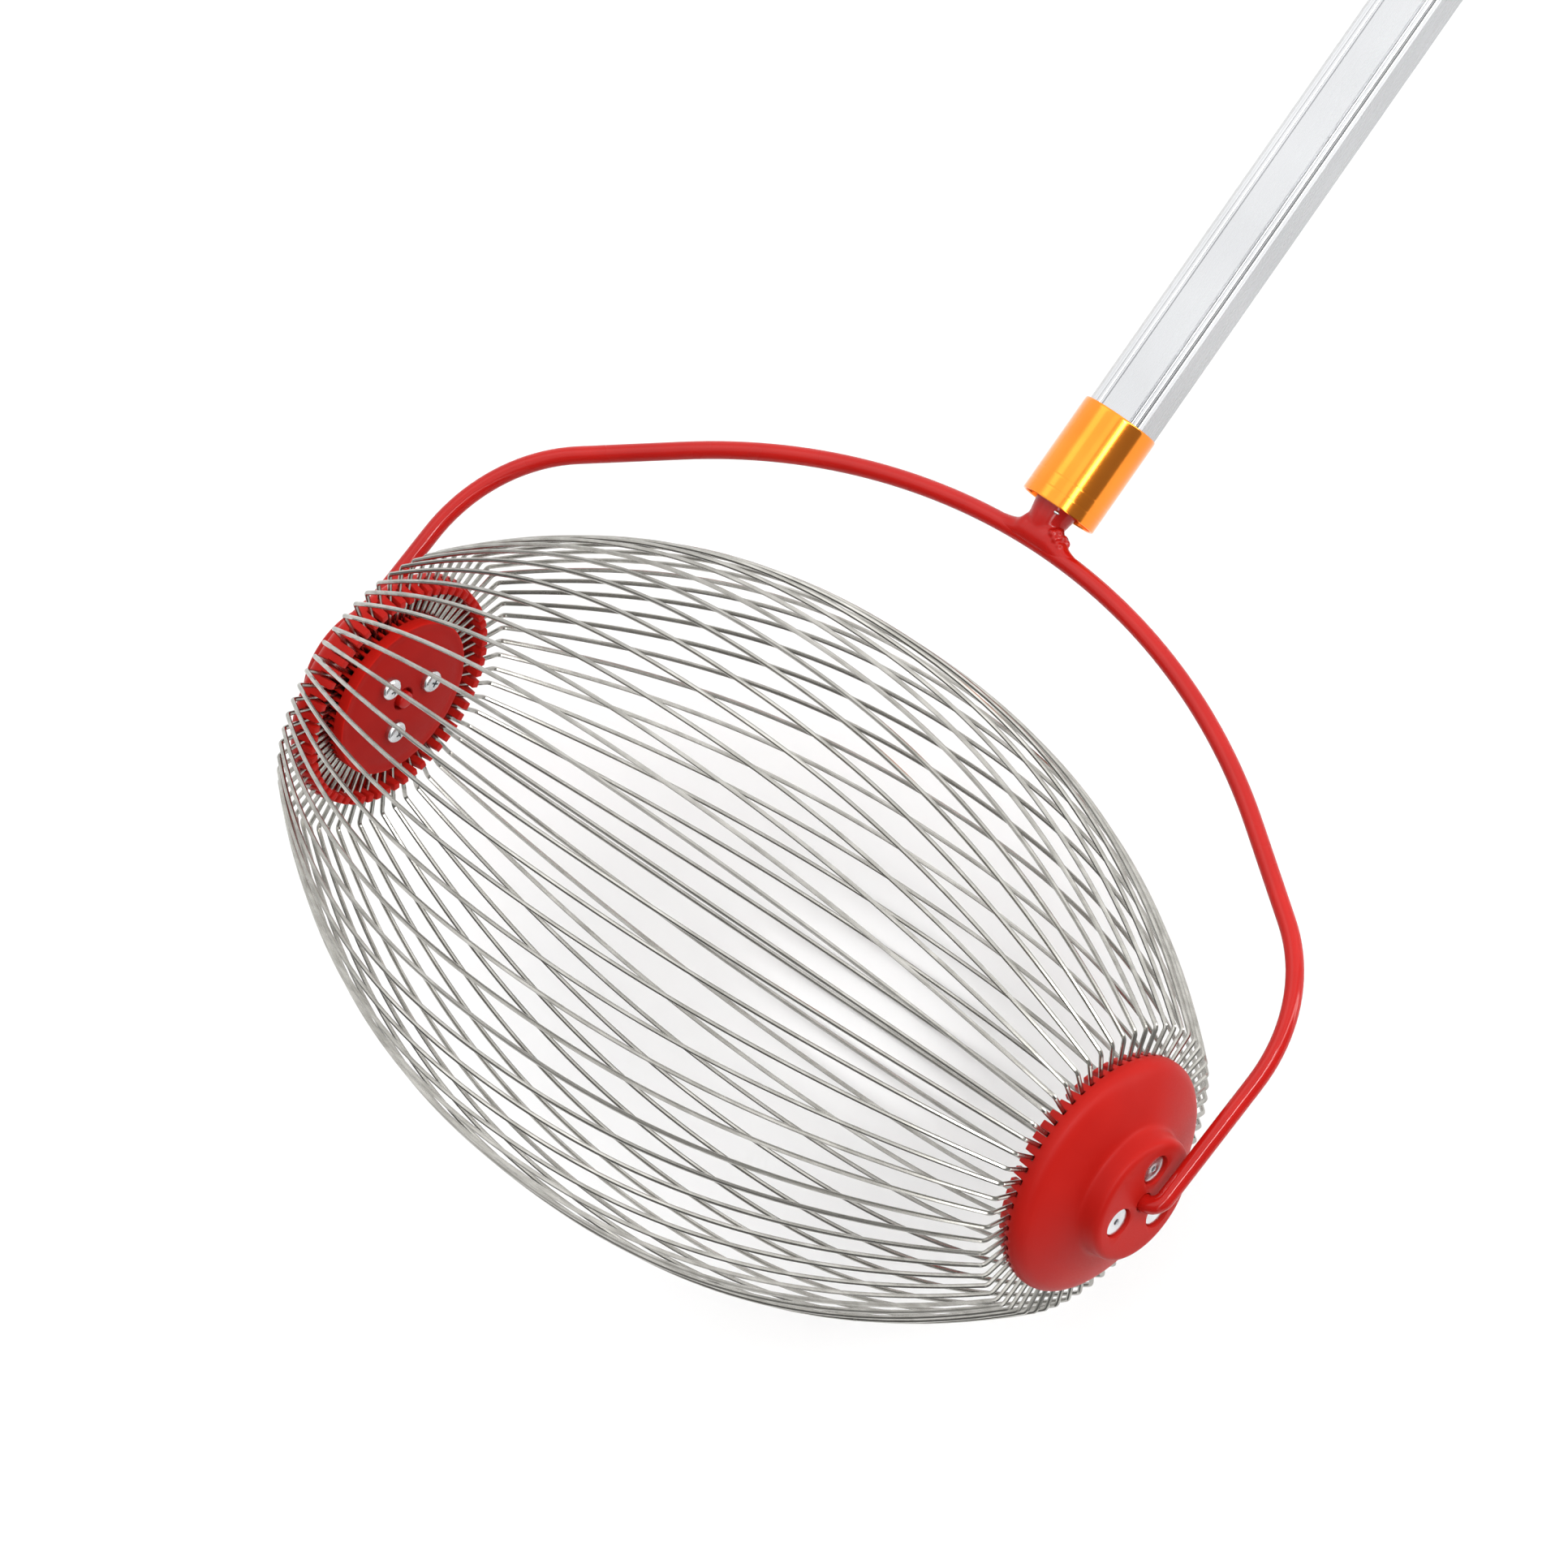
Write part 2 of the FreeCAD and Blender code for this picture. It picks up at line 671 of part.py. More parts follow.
def pole_section(name, start):
    """Extruded tube with flats between narrow beads, each bead between two grooves."""
    body = new_body(name)
    bar_sketch = new_sketch(body, "XY_Plane", start)
    circle(bar_sketch, "0", "0", "pole_radius")
    pad(body, bar_sketch, "section_length")
    flat_sketch = new_sketch(body, "XY_Plane", start, "pole_turn * 1 deg - 180 deg / pole_sides")
    out, side = "cos(180 deg / pole_sides)", "sin(180 deg / pole_sides)"
    groove, top = "(pole_radius - pole_groove_depth)", "(pole_radius + pole_groove_depth)"
    bead_top = top + " * " + side + " - pole_bead_half * " + out
    mirrored_outline(flat_sketch, [
        ("pole_flat", "pole_flat_half"),
        (groove + " * " + out + " + pole_bead_half * " + side, groove + " * " + side + " - pole_bead_half * " + out),
        (top + " * " + out + " + pole_bead_half * " + side, bead_top),
        (top, bead_top),
    ])
    flat = cut(body, flat_sketch, "section_length", up=True)
    around(body, [flat], "pole_sides")
    bore_sketch = new_sketch(body, "XY_Plane", start)
    circle(bore_sketch, "0", "0", "pole_bore_radius")
    cut(body, bore_sketch, "section_length", up=True)
    return finish_node(body, pole_place)


def mirrored_outline(sketch, half):
    """Closed outline that is the same on both sides of the sketch's X axis, from its upper half."""
    upper = [FreeCAD.Vector(value(across), value(up), 0) for across, up in half]
    lower = [FreeCAD.Vector(place.x, -place.y, 0) for place in reversed(upper)]
    places = upper + lower
    count = len(places)
    lines = []
    for number in range(count):
        lines.append(sketch.addGeometry(
            Part.LineSegment(places[number], places[(number + 1) % count]), False))
    for number in range(count):
        sketch.addConstraint(Sketcher.Constraint("Coincident", lines[number], 2, lines[(number + 1) % count], 1))
    for number, (across, up) in enumerate(half):
        fix_point(sketch, lines[number], 1, across, up)
        sketch.addConstraint(Sketcher.Constraint(
            "Symmetric", lines[number], 1, lines[count - 1 - number], 1, -1))


def grip_sleeve():
    """Rubber sleeve on the top of the pole."""
    body = new_body("grip_sleeve")
    start = pole_end + " - grip_length"
    revolve(body, [
        ("pole_radius + grip_play", start),
        ("grip_radius - grip_bevel", start),
        ("grip_radius", start + " + grip_bevel"),
        ("grip_radius", pole_end),
        ("pole_radius + grip_play", pole_end),
    ])
    return finish_node(body, pole_place)


def end_cap():
    """Cap with a plug in the pole, a bevelled rim and an eye to hang the tool by."""
    body = new_body("end_cap")
    rim_top = pole_end + " + cap_rim_length"
    plug_radius = "pole_bore_radius - insert_play"
    revolve(body, [
        ("0", pole_end),
        (plug_radius + " - cap_plug_wall", pole_end),
        (plug_radius + " - cap_plug_wall", pole_end + " - cap_plug_length"),
        (plug_radius, pole_end + " - cap_plug_length"),
        (plug_radius, pole_end),
        ("cap_rim_radius", pole_end),
        ("cap_rim_radius", rim_top + " - cap_rim_bevel"),
        ("cap_rim_radius - cap_rim_bevel", rim_top),
        ("0", rim_top),
    ])
    eye_sketch = new_sketch(body, "XZ_Plane")
    eye_outline(eye_sketch, rim_top + " - cap_rim_bevel", rim_top + " + eye_length - eye_radius")
    pad(body, eye_sketch, "eye_thickness", midplane=True)
    return finish_node(body, pole_place)


def eye_outline(sketch, foot, centre):
    """Tab with a round end and a round hole."""
    radius = value("eye_radius")
    low = value(foot)
    middle = value(centre)
    places = [FreeCAD.Vector(-radius, low, 0), FreeCAD.Vector(radius, low, 0),
              FreeCAD.Vector(radius, middle, 0), FreeCAD.Vector(-radius, middle, 0)]
    base = sketch.addGeometry(Part.LineSegment(places[0], places[1]), False)
    right = sketch.addGeometry(Part.LineSegment(places[1], places[2]), False)
    top = sketch.addGeometry(Part.ArcOfCircle(
        Part.Circle(FreeCAD.Vector(0, middle, 0), FreeCAD.Vector(0, 0, 1), radius), 0, math.pi), False)
    left = sketch.addGeometry(Part.LineSegment(places[3], places[0]), False)
    sketch.addConstraint(Sketcher.Constraint("Coincident", base, 2, right, 1))
    sketch.addConstraint(Sketcher.Constraint("Tangent", right, 2, top, 1))
    sketch.addConstraint(Sketcher.Constraint("Tangent", top, 2, left, 1))
    sketch.addConstraint(Sketcher.Constraint("Coincident", left, 2, base, 1))
    sketch.addConstraint(Sketcher.Constraint("Vertical", right))
    sketch.addConstraint(Sketcher.Constraint("Horizontal", base))
    sketch.addConstraint(Sketcher.Constraint("PointOnObject", top, 3, -2))
    measure(sketch, Sketcher.Constraint("DistanceY", -1, 1, base, 2, low), foot)
    measure(sketch, Sketcher.Constraint("DistanceY", -1, 1, top, 3, middle), centre)
    measure(sketch, Sketcher.Constraint("Radius", top, radius), "eye_radius")
    circle(sketch, "0", centre, "hang_hole_radius")


# Build every piece

for side in ("left", "right"):
    outer_cup(side)
    clamp_disc(side)
clamp_screws()
round_nuts()
cage_wires()
rod = yoke_rod()
yoke_stub(rod)
stud("lower_stud", "stud_start", "stub_height")
collar("lower_collar", "stub_height")
insert("lower_insert", pole_start)
pole_section("lower_pole", pole_start)
stud_holder("stud_holder", pole_start + " + section_length")
stud("middle_stud", pole_start + " + section_length - stud_reach", pole_start + " + section_length")
collar("middle_collar", pole_start + " + section_length")
insert("upper_insert", middle_start)
pole_section("upper_pole", middle_start)
grip_sleeve()
end_cap()
doc.recompute()

# Check everything, then write each piece
for thing in doc.Objects:
    for state in thing.State:
        if state in ("Invalid", "Error"):
            raise RuntimeError(thing.Label + " failed: " + state)
os.makedirs("parts", exist_ok=True)
for node in nodes:
    shape = node.Shape
    if shape.isNull() or not shape.isValid() or not shape.Solids:
        raise RuntimeError(node.Label + " has no valid shape")
    if len(shape.Solids) > 1:
        shape = Part.makeCompound(shape.Solids)
    shape.exportStep("parts/" + node.Label + ".step")
    box = shape.BoundBox
    print("%-20s solids %d  volume %.0f  x %.1f %.1f  y %.1f %.1f  z %.2f %.2f" % (
        node.Label, len(shape.Solids), shape.Volume, box.XMin, box.XMax, box.YMin, box.YMax, box.ZMin, box.ZMax))
print("axle height %.3f, pole slope %.3f, yoke slope %.3f, axle at y %.3f" % (
    axle_height, pole_slope, yoke_slope, shift))
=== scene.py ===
import math
import random

import bpy
from mathutils import Matrix, Vector


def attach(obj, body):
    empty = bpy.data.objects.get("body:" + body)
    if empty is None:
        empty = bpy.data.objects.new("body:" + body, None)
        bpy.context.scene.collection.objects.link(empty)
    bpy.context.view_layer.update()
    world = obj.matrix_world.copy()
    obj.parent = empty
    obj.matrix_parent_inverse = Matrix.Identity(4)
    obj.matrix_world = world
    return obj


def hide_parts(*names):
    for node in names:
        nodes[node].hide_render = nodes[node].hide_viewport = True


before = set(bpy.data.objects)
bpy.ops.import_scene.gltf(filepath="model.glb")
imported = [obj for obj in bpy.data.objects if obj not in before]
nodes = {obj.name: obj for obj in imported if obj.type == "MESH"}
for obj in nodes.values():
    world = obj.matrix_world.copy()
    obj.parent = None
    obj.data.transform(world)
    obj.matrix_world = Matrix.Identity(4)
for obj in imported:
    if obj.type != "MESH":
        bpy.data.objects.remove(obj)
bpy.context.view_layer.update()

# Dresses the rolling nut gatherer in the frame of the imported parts. Lengths in the settings are millimetres, which
# mm() turns into metres, apart from the places and sizes of the camera, the floor and the lamps, which are metres.

tolerance = 1e-6    # in metres, for picking and merging points


# Small helpers

def mm(*lengths):
    scaled = [length / 1000 for length in lengths]
    return scaled[0] if len(scaled) == 1 else tuple(scaled)


def near(length, wanted):
    return abs(length - wanted) < tolerance


def fromAxis(co):
    return math.hypot(co.x, co.y)


def deselectAll():
    if bpy.context.object and bpy.context.object.mode != "OBJECT":
        bpy.ops.object.mode_set(mode="OBJECT")
    bpy.ops.object.select_all(action="DESELECT")


def pickOnly(piece):
    deselectAll()
    piece.select_set(True)
    bpy.context.view_layer.objects.active = piece


def editAll(piece):
    pickOnly(piece)
    bpy.ops.object.mode_set(mode="EDIT")
    bpy.ops.mesh.select_all(action="SELECT")


def editWhere(piece, kind, wanted):
    # starts editing with only the vertices or faces picked whose place is wanted
    pickOnly(piece)
    bpy.ops.object.mode_set(mode="EDIT")
    bpy.ops.mesh.select_mode(type=kind)
    bpy.ops.mesh.select_all(action="DESELECT")
    bpy.ops.object.mode_set(mode="OBJECT")
    parts, place = (piece.data.vertices, "co") if kind == "VERT" else (piece.data.polygons, "center")
    for part in parts:
        part.select = wanted(getattr(part, place))
    bpy.ops.object.mode_set(mode="EDIT")


def leaveEdit():
    # merges doubled points and turns all faces outwards
    bpy.ops.mesh.select_all(action="SELECT")
    bpy.ops.mesh.remove_doubles(threshold=tolerance)
    bpy.ops.mesh.normals_make_consistent(inside=False)
    bpy.ops.object.mode_set(mode="OBJECT")


def drawEdges(*step):
    bpy.ops.mesh.extrude_edges_move(TRANSFORM_OT_translate={"value": mm(*step)})


def drawFaces(*step):
    bpy.ops.mesh.extrude_region_move(TRANSFORM_OT_translate={"value": mm(*step)})


def scalePicked(scale, centre):
    bpy.ops.transform.resize(value=scale, center_override=mm(*centre))


def fanRing():
    # closes the picked ring with a fan of faces
    bpy.ops.mesh.extrude_edges_move()
    bpy.ops.mesh.merge(type="CENTER")


def nameAs(piece, name):
    piece.name = name
    piece.data.name = name
    return piece


def applyPlace():
    bpy.ops.object.transform_apply(location=True, rotation=True, scale=True)


def applyModifier(piece, kind, **settings):
    pickOnly(piece)
    modifier = piece.modifiers.new(kind.title(), kind)
    for setting, amount in settings.items():
        setattr(modifier, setting, amount)
    bpy.ops.object.modifier_apply(modifier=modifier.name)


def bevelEdges(piece, width, angle, segments=2):
    applyModifier(piece, "BEVEL", width=mm(width), segments=segments, limit_method="ANGLE",
                  angle_limit=math.radians(angle))


def turnedPiece(name, outline, sides, turn=0.0, closed=False):
    # a circle is extruded ring by ring along an outline of (radius, height)
    radius, height = outline[0]
    deselectAll()
    bpy.ops.mesh.primitive_circle_add(vertices=sides, radius=mm(radius), location=mm(0, 0, height),
                                      rotation=(0, 0, math.radians(turn)))
    piece = nameAs(bpy.context.object, name)
    applyPlace()
    editAll(piece)
    for nextRadius, nextHeight in outline[1:]:
        drawEdges(0, 0, nextHeight - height)
        if nextRadius != radius:
            grow = nextRadius / radius
            scalePicked((grow, grow, 1), (0, 0, nextHeight))
        radius, height = nextRadius, nextHeight
    leaveEdit()
    if closed:
        for radius, height in (outline[0], outline[-1]):
            editWhere(piece, "VERT", lambda co: near(co.z, mm(height)) and near(fromAxis(co), mm(radius)))
            fanRing()
            leaveEdit()
    return piece


def addCylinder(radius, length, sides, place, lying=False):
    deselectAll()
    bpy.ops.mesh.primitive_cylinder_add(vertices=sides, radius=mm(radius), depth=mm(length), location=mm(*place),
                                        rotation=(math.radians(90 if lying else 0), 0, 0))
    applyPlace()
    return bpy.context.object


def addBall(radius, place, segments, shape=(1, 1, 1)):
    deselectAll()
    bpy.ops.mesh.primitive_uv_sphere_add(segments=segments, ring_count=12, radius=mm(radius), location=mm(*place))
    bpy.context.object.scale = shape
    applyPlace()
    return bpy.context.object


def cutWith(piece, cutter):
    applyModifier(piece, "BOOLEAN", object=cutter, operation="DIFFERENCE", solver="EXACT")
    bpy.data.objects.remove(cutter)


def joinPieces(pieces, name):
    deselectAll()
    for piece in pieces:
        piece.select_set(True)
    bpy.context.view_layer.objects.active = pieces[0]
    bpy.ops.object.join()
    return nameAs(pieces[0], name)


def copyOf(piece, name):
    twin = piece.copy()
    twin.data = piece.data.copy()
    bpy.context.scene.collection.objects.link(twin)
    return nameAs(twin, name)


def finishPiece(piece, place, finish, body, standsFor=None, smoothAngle=35):
    piece.data.transform(place)
    piece.data.update()
    pickOnly(piece)
    bpy.ops.object.shade_smooth_by_angle(angle=math.radians(smoothAngle))
    piece.data.materials.clear()
    piece.data.materials.append(materials[finish])
    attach(piece, body)
    if standsFor:
        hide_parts(standsFor)


# Where the hubs, the yoke and the pole stand

layout = {
    "axle": (0.0, -609.914, 119.877),
    "hubTurn": {"right": 90, "left": -90},
    "yokeSlope": 9.759,     # of the yoke below the level
    "poleSlope": 3.659,     # of the pole below the level
    "archRise": 175.2,      # from the axle to the middle of the arch
}

axlePlace = Matrix.Translation(mm(*layout["axle"]))
hubPlace = {side: axlePlace @ Matrix.Rotation(math.radians(turn), 4, "Y") for side, turn in layout["hubTurn"].items()}
yokePlace = axlePlace @ Matrix.Rotation(math.radians(-layout["yokeSlope"]), 4, "X")
polePlace = (Matrix.Translation(yokePlace @ Vector(mm(0, layout["archRise"], 0)))
             @ Matrix.Rotation(math.radians(-90 - layout["poleSlope"]), 4, "X"))


# Finishes: the tone pattern mixes the dark and the light colour, and the grain pattern gives the bump. Either of them
# varies the roughness, between the two values beside its name. A bump has a strength and a depth.

finishes = {
    "cupPlastic": {     # moulded red plastic with large faint clouds and a fine grain
        "dark": (0.365, 0.008, 0.005, 1), "light": (0.42, 0.011, 0.007, 1),
        "tone": {"scale": 30}, "grain": {"scale": 1500, "detail": 2, "roughness": 0.6},
        "roughness": ("grain", 0.38, 0.47), "bump": (0.08, 0.1), "sockets": {"Specular IOR Level": 0.09}},
    "discPlastic": {
        "dark": (0.29, 0.009, 0.007, 1), "light": (0.34, 0.012, 0.009, 1),
        "tone": {"scale": 45}, "grain": {"scale": 1300, "detail": 2, "roughness": 0.6},
        "roughness": ("grain", 0.42, 0.51), "bump": (0.12, 0.1), "sockets": {"Specular IOR Level": 0.04}},
    "gripRubber": {
        "dark": (0.013, 0.013, 0.014, 1), "light": (0.025, 0.025, 0.027, 1),
        "tone": {"scale": 60}, "grain": {"scale": 900, "detail": 2, "roughness": 0.6},
        "roughness": ("grain", 0.58, 0.67), "bump": (0.35, 0.1), "sockets": {"Specular IOR Level": 0.35}},
    "capPlastic": {
        "dark": (0.36, 0.012, 0.009, 1), "light": (0.43, 0.016, 0.011, 1),
        "tone": {"scale": 50}, "grain": {"scale": 1200, "detail": 2, "roughness": 0.6},
        "roughness": ("grain", 0.41, 0.5), "bump": (0.12, 0.1), "sockets": {"Specular IOR Level": 0.35}},
    "plugPlastic": {
        "dark": (0.03, 0.03, 0.032, 1), "light": (0.05, 0.05, 0.053, 1),
        "tone": {"scale": 50}, "grain": {"scale": 1000, "detail": 2, "roughness": 0.6},
        "roughness": ("grain", 0.46, 0.55), "bump": (0.15, 0.1), "sockets": {"Specular IOR Level": 0.4}},
    "wireSteel": {      # drawn spring wire with a dull zinc coat, patchy along its length
        "dark": (0.275, 0.267, 0.243, 1), "light": (0.43, 0.42, 0.392, 1), "lightFrom": 0.65,
        "tone": {"scale": 60, "detail": 4, "roughness": 0.6, "squeeze": (1, 4, 4)},
        "grain": {"scale": 2500, "detail": 2},
        "roughness": ("tone", 0.28, 0.14), "bump": (0.12, 0.05), "sockets": {"Metallic": 1.0}},
    "zincCoat": {
        "dark": (0.60, 0.61, 0.625, 1), "light": (0.74, 0.75, 0.765, 1),
        "tone": {"scale": 160}, "grain": {"scale": 160},
        "roughness": ("tone", 0.28, 0.2), "bump": (0.06, 0.05), "sockets": {"Metallic": 1.0}},
    "yokePaint": {      # a thick glossy coat with a soft orange peel
        "dark": (0.37, 0.006, 0.004, 1), "light": (0.43, 0.008, 0.005, 1),
        "tone": {"scale": 35}, "grain": {"scale": 420, "detail": 2},
        "roughness": ("tone", 0.3, 0.24), "bump": (0.1, 0.3),
        "sockets": {"Coat Weight": 0.4, "Coat Roughness": 0.05, "Specular IOR Level": 0.05}},
    "collarGold": {     # turned and dyed aluminium with fine rings
        "dark": (0.87, 0.245, 0.016, 1), "light": (0.93, 0.28, 0.022, 1),
        "tone": {"scale": 40},
        "grain": {"scale": 5000, "roughness": 0.6, "squeeze": (0.02, 1, 0.02), "turn": 13.418},
        "roughness": ("grain", 0.12, 0.19), "bump": (0.03, 0.05),
        "sockets": {"Metallic": 1.0, "Coat Weight": 0.35, "Coat Roughness": 0.12}},
    "poleAluminium": {  # an extrusion with fine lines along it
        "dark": (0.47, 0.475, 0.485, 1), "light": (0.53, 0.535, 0.545, 1),
        "tone": {"scale": 14},
        "grain": {"scale": 1600, "roughness": 0.65, "squeeze": (1, 0.004, 1), "turn": 13.418},
        "roughness": ("grain", 0.24, 0.31), "bump": (0.05, 0.06), "sockets": {"Metallic": 1.0}},
}

noiseSpan = (0.3, 0.7)  # where most values of a noise pattern lie

# Painted light: the disc's rim and fins get a brighter red than its face, which stands in for the light falling on them
# through the wires.
discRimLight = {
    "colour": (0.47, 0.010, 0.006, 1),
    "from": 30.6,   # the face's colour ends here, out from the axle
    "to": 31.2,     # and the rim's brighter painted-light colour is full from here
}


def newMaterial(name):
    material = bpy.data.materials.new(name)
    material.use_nodes = True
    return material, material.node_tree, material.node_tree.nodes["Principled BSDF"]


def noisePattern(tree, scale, detail=3, roughness=0.5, squeeze=(1, 1, 1), turn=0):
    # squeeze makes the pattern finer along an axis where it is high, and turn takes another part of the noise
    coordinates = tree.nodes.new("ShaderNodeTexCoord")
    mapping = tree.nodes.new("ShaderNodeMapping")
    mapping.inputs["Scale"].default_value = squeeze
    mapping.inputs["Rotation"].default_value = (math.radians(turn), 0, 0)
    tree.links.new(coordinates.outputs["Object"], mapping.inputs["Vector"])
    noise = tree.nodes.new("ShaderNodeTexNoise")
    noise.inputs["Scale"].default_value = scale
    noise.inputs["Detail"].default_value = detail
    noise.inputs["Roughness"].default_value = roughness
    tree.links.new(mapping.outputs["Vector"], noise.inputs["Vector"])
    return noise.outputs["Fac"]


def rampOf(tree, factor, stops):
    ramp = tree.nodes.new("ShaderNodeValToRGB")
    ramp.color_ramp.elements[0].position, ramp.color_ramp.elements[0].color = stops[0]
    ramp.color_ramp.elements[1].position, ramp.color_ramp.elements[1].color = stops[-1]
    for position, colour in stops[1:-1]:
        ramp.color_ramp.elements.new(position).color = colour
    tree.links.new(factor, ramp.inputs["Fac"])
    return ramp.outputs["Color"]


def rangeOf(tree, factor, low, high, span=noiseSpan):
    spread = tree.nodes.new("ShaderNodeMapRange")
    for socket, amount in zip(("From Min", "From Max", "To Min", "To Max"), (*span, low, high)):
        spread.inputs[socket].default_value = amount
    tree.links.new(factor, spread.inputs["Value"])
    return spread.outputs["Result"]


def bumpFrom(tree, height, strength, depth):
    bump = tree.nodes.new("ShaderNodeBump")
    bump.inputs["Strength"].default_value = strength
    bump.inputs["Distance"].default_value = mm(depth)
    tree.links.new(height, bump.inputs["Height"])
    return bump.outputs["Normal"]


def patternedMaterial(name, finish):
    material, tree, shader = newMaterial(name)
    patterns = {part: noisePattern(tree, **finish[part]) for part in ("tone", "grain")}
    lightFrom = finish.get("lightFrom", noiseSpan[1])
    tones = rampOf(tree, patterns["tone"], [(noiseSpan[0], finish["dark"]), (lightFrom, finish["light"])])
    part, low, high = finish["roughness"]
    tree.links.new(tones, shader.inputs["Base Color"])
    tree.links.new(rangeOf(tree, patterns[part], low, high), shader.inputs["Roughness"])
    tree.links.new(bumpFrom(tree, patterns["grain"], *finish["bump"]), shader.inputs["Normal"])
    for socket, amount in finish["sockets"].items():
        shader.inputs[socket].default_value = amount
    return material


def paintRimLight(material):
    # painted light: the disc's rim and fins are painted brighter than its face, as if lit through the wires; the colour
    # goes by the distance from the axle
    tree = material.node_tree
    shader = tree.nodes["Principled BSDF"]
    reach = tree.nodes.new("ShaderNodeTexCoord").outputs["Object"]
    for operation, amount in (("SUBTRACT", mm(*layout["axle"])), ("MULTIPLY", (0, 1, 1)), ("LENGTH", None)):
        step = tree.nodes.new("ShaderNodeVectorMath")
        step.operation = operation
        if amount:
            step.inputs[1].default_value = amount
        tree.links.new(reach, step.inputs[0])
        reach = step.outputs["Value" if operation == "LENGTH" else "Vector"]
    mix = tree.nodes.new("ShaderNodeMix")
    mix.data_type = "RGBA"
    faceColour, rimLitColour = mix.inputs[6], mix.inputs[7]    # a Mix node has its colours in these sockets
    tree.links.new(rangeOf(tree, reach, 0, 1, mm(discRimLight["from"], discRimLight["to"])), mix.inputs["Factor"])
    tree.links.new(shader.inputs["Base Color"].links[0].from_socket, faceColour)
    # the rim's brighter colour is painted light
    rimLitColour.default_value = discRimLight["colour"]
    tree.links.new(mix.outputs[2], shader.inputs["Base Color"])


materials = {name: patternedMaterial(name, finish) for name, finish in finishes.items()}
# the disc's rim gets its painted light
paintRimLight(materials["discPlastic"])
print("materials made")


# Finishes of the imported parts

nodeFinish = {
    "left_outer_cup": "cupPlastic", "right_outer_cup": "cupPlastic",
    "left_clamp_disc": "discPlastic", "right_clamp_disc": "discPlastic",
    "clamp_screws": "zincCoat", "round_nuts": "zincCoat",
    "yoke_rod": "yokePaint", "yoke_stub": "yokePaint",
    "lower_stud": "zincCoat", "middle_stud": "zincCoat",
    "lower_collar": "collarGold", "middle_collar": "collarGold",
    "lower_insert": "plugPlastic", "upper_insert": "plugPlastic", "stud_holder": "plugPlastic",
    "lower_pole": "poleAluminium", "upper_pole": "poleAluminium",
    "grip_sleeve": "gripRubber", "end_cap": "capPlastic",
}

for nodeName, node in nodes.items():
    finish = "wireSteel" if nodeName.startswith("cage_wires") else nodeFinish[nodeName]
    node.data.materials.clear()
    node.data.materials.append(materials[finish])


# Wires of the barrel

wires = {
    "count": 60,
    "inGroup": 5,
    "radius": 0.86,
    "middleRadius": 119.14,
    "endRadius": 57.4,
    "bendPlace": 174.4,
    "fullness": 2.25,       # power of the bow, higher for a barrel with fuller ends
    "bow": (1.0, 0.955, 0.91, 0.85, 0.78, 0.7, 0.61, 0.51, 0.4, 0.28, 0.14, 0.0),   # its points, from a bend inwards
    "slotPlace": 175.16,
    "hookRadius": 28.1,
    "hookTip": 182.6,
    "bendLength": 2.6,      # how far from a bend its curve starts
    "steps": 4,             # of the curve between two points
    "roundSteps": 2,        # added points in each quarter of the round wire
    "drift": 0.55,          # sideways, at the middle, in degrees
    "sway": 0.275,          # to one side in one half and to the other in the other half, in degrees
    "seed": 7,
}


def wireHalf():
    # half of the wire's line as (place along the axle, radius), from the hook to the middle
    rise = wires["middleRadius"] - wires["endRadius"]
    bow = [(wires["bendPlace"] * share, wires["endRadius"] + rise * (1 - share ** wires["fullness"]))
           for share in wires["bow"]]
    hook = [(wires["hookTip"], wires["hookRadius"]), (wires["slotPlace"], wires["hookRadius"])]
    half = [hook[0]]
    for before, corner, after in ((hook[0], hook[1], bow[0]), (hook[1], bow[0], bow[1])):
        before, corner, after = Vector(before), Vector(corner), Vector(after)
        half += [tuple(corner + (before - corner).normalized() * wires["bendLength"]), tuple(corner),
                 tuple(corner + (after - corner).normalized() * wires["bendLength"])]
    return half + bow[1:]


def oneWire():
    half = wireHalf()
    whole = half + [(-place, radius) for place, radius in reversed(half[:-1])]
    deselectAll()
    bpy.ops.curve.primitive_nurbs_path_add(location=(0, 0, 0))
    path = bpy.context.object.data
    spline = path.splines[0]
    spline.points.add(len(whole) - len(spline.points))
    for point, (place, radius) in zip(spline.points, whole):
        point.co = (mm(radius), 0, mm(place), 1)
    spline.order_u = 3
    spline.use_endpoint_u = True
    spline.resolution_u = wires["steps"]
    path.bevel_depth = mm(wires["radius"])
    path.bevel_resolution = wires["roundSteps"]
    path.use_fill_caps = True
    path.twist_mode = "MINIMUM"
    bpy.ops.object.convert(target="MESH")
    return bpy.context.object


def cageWires():
    patternWire = oneWire()
    chance = random.Random(wires["seed"])
    for group in range(wires["count"] // wires["inGroup"]):
        five = []
        for number in range(wires["inGroup"]):
            angle = math.radians((group * wires["inGroup"] + number + 0.5) * 360 / wires["count"])
            drift = math.radians(chance.uniform(-1, 1) * wires["drift"])
            sway = math.radians(chance.uniform(-1, 1) * wires["sway"])
            wire = copyOf(patternWire, "wire")
            for vertex in wire.data.vertices:
                share = max(-1, min(1, vertex.co.z / mm(wires["bendPlace"])))
                turn = drift * (1 - share ** 2) + sway * math.sin(math.pi * share) + angle
                vertex.co = Matrix.Rotation(turn, 3, "Z") @ vertex.co
            five.append(wire)
        bundle = joinPieces(five, "cageWires%02d" % (group + 1))
        finishPiece(bundle, hubPlace["right"], "wireSteel", "roller", "cage_wires_%02d" % (group + 1))
    bpy.data.objects.remove(patternWire)


cageWires()
print("wires made")


# Outer cups

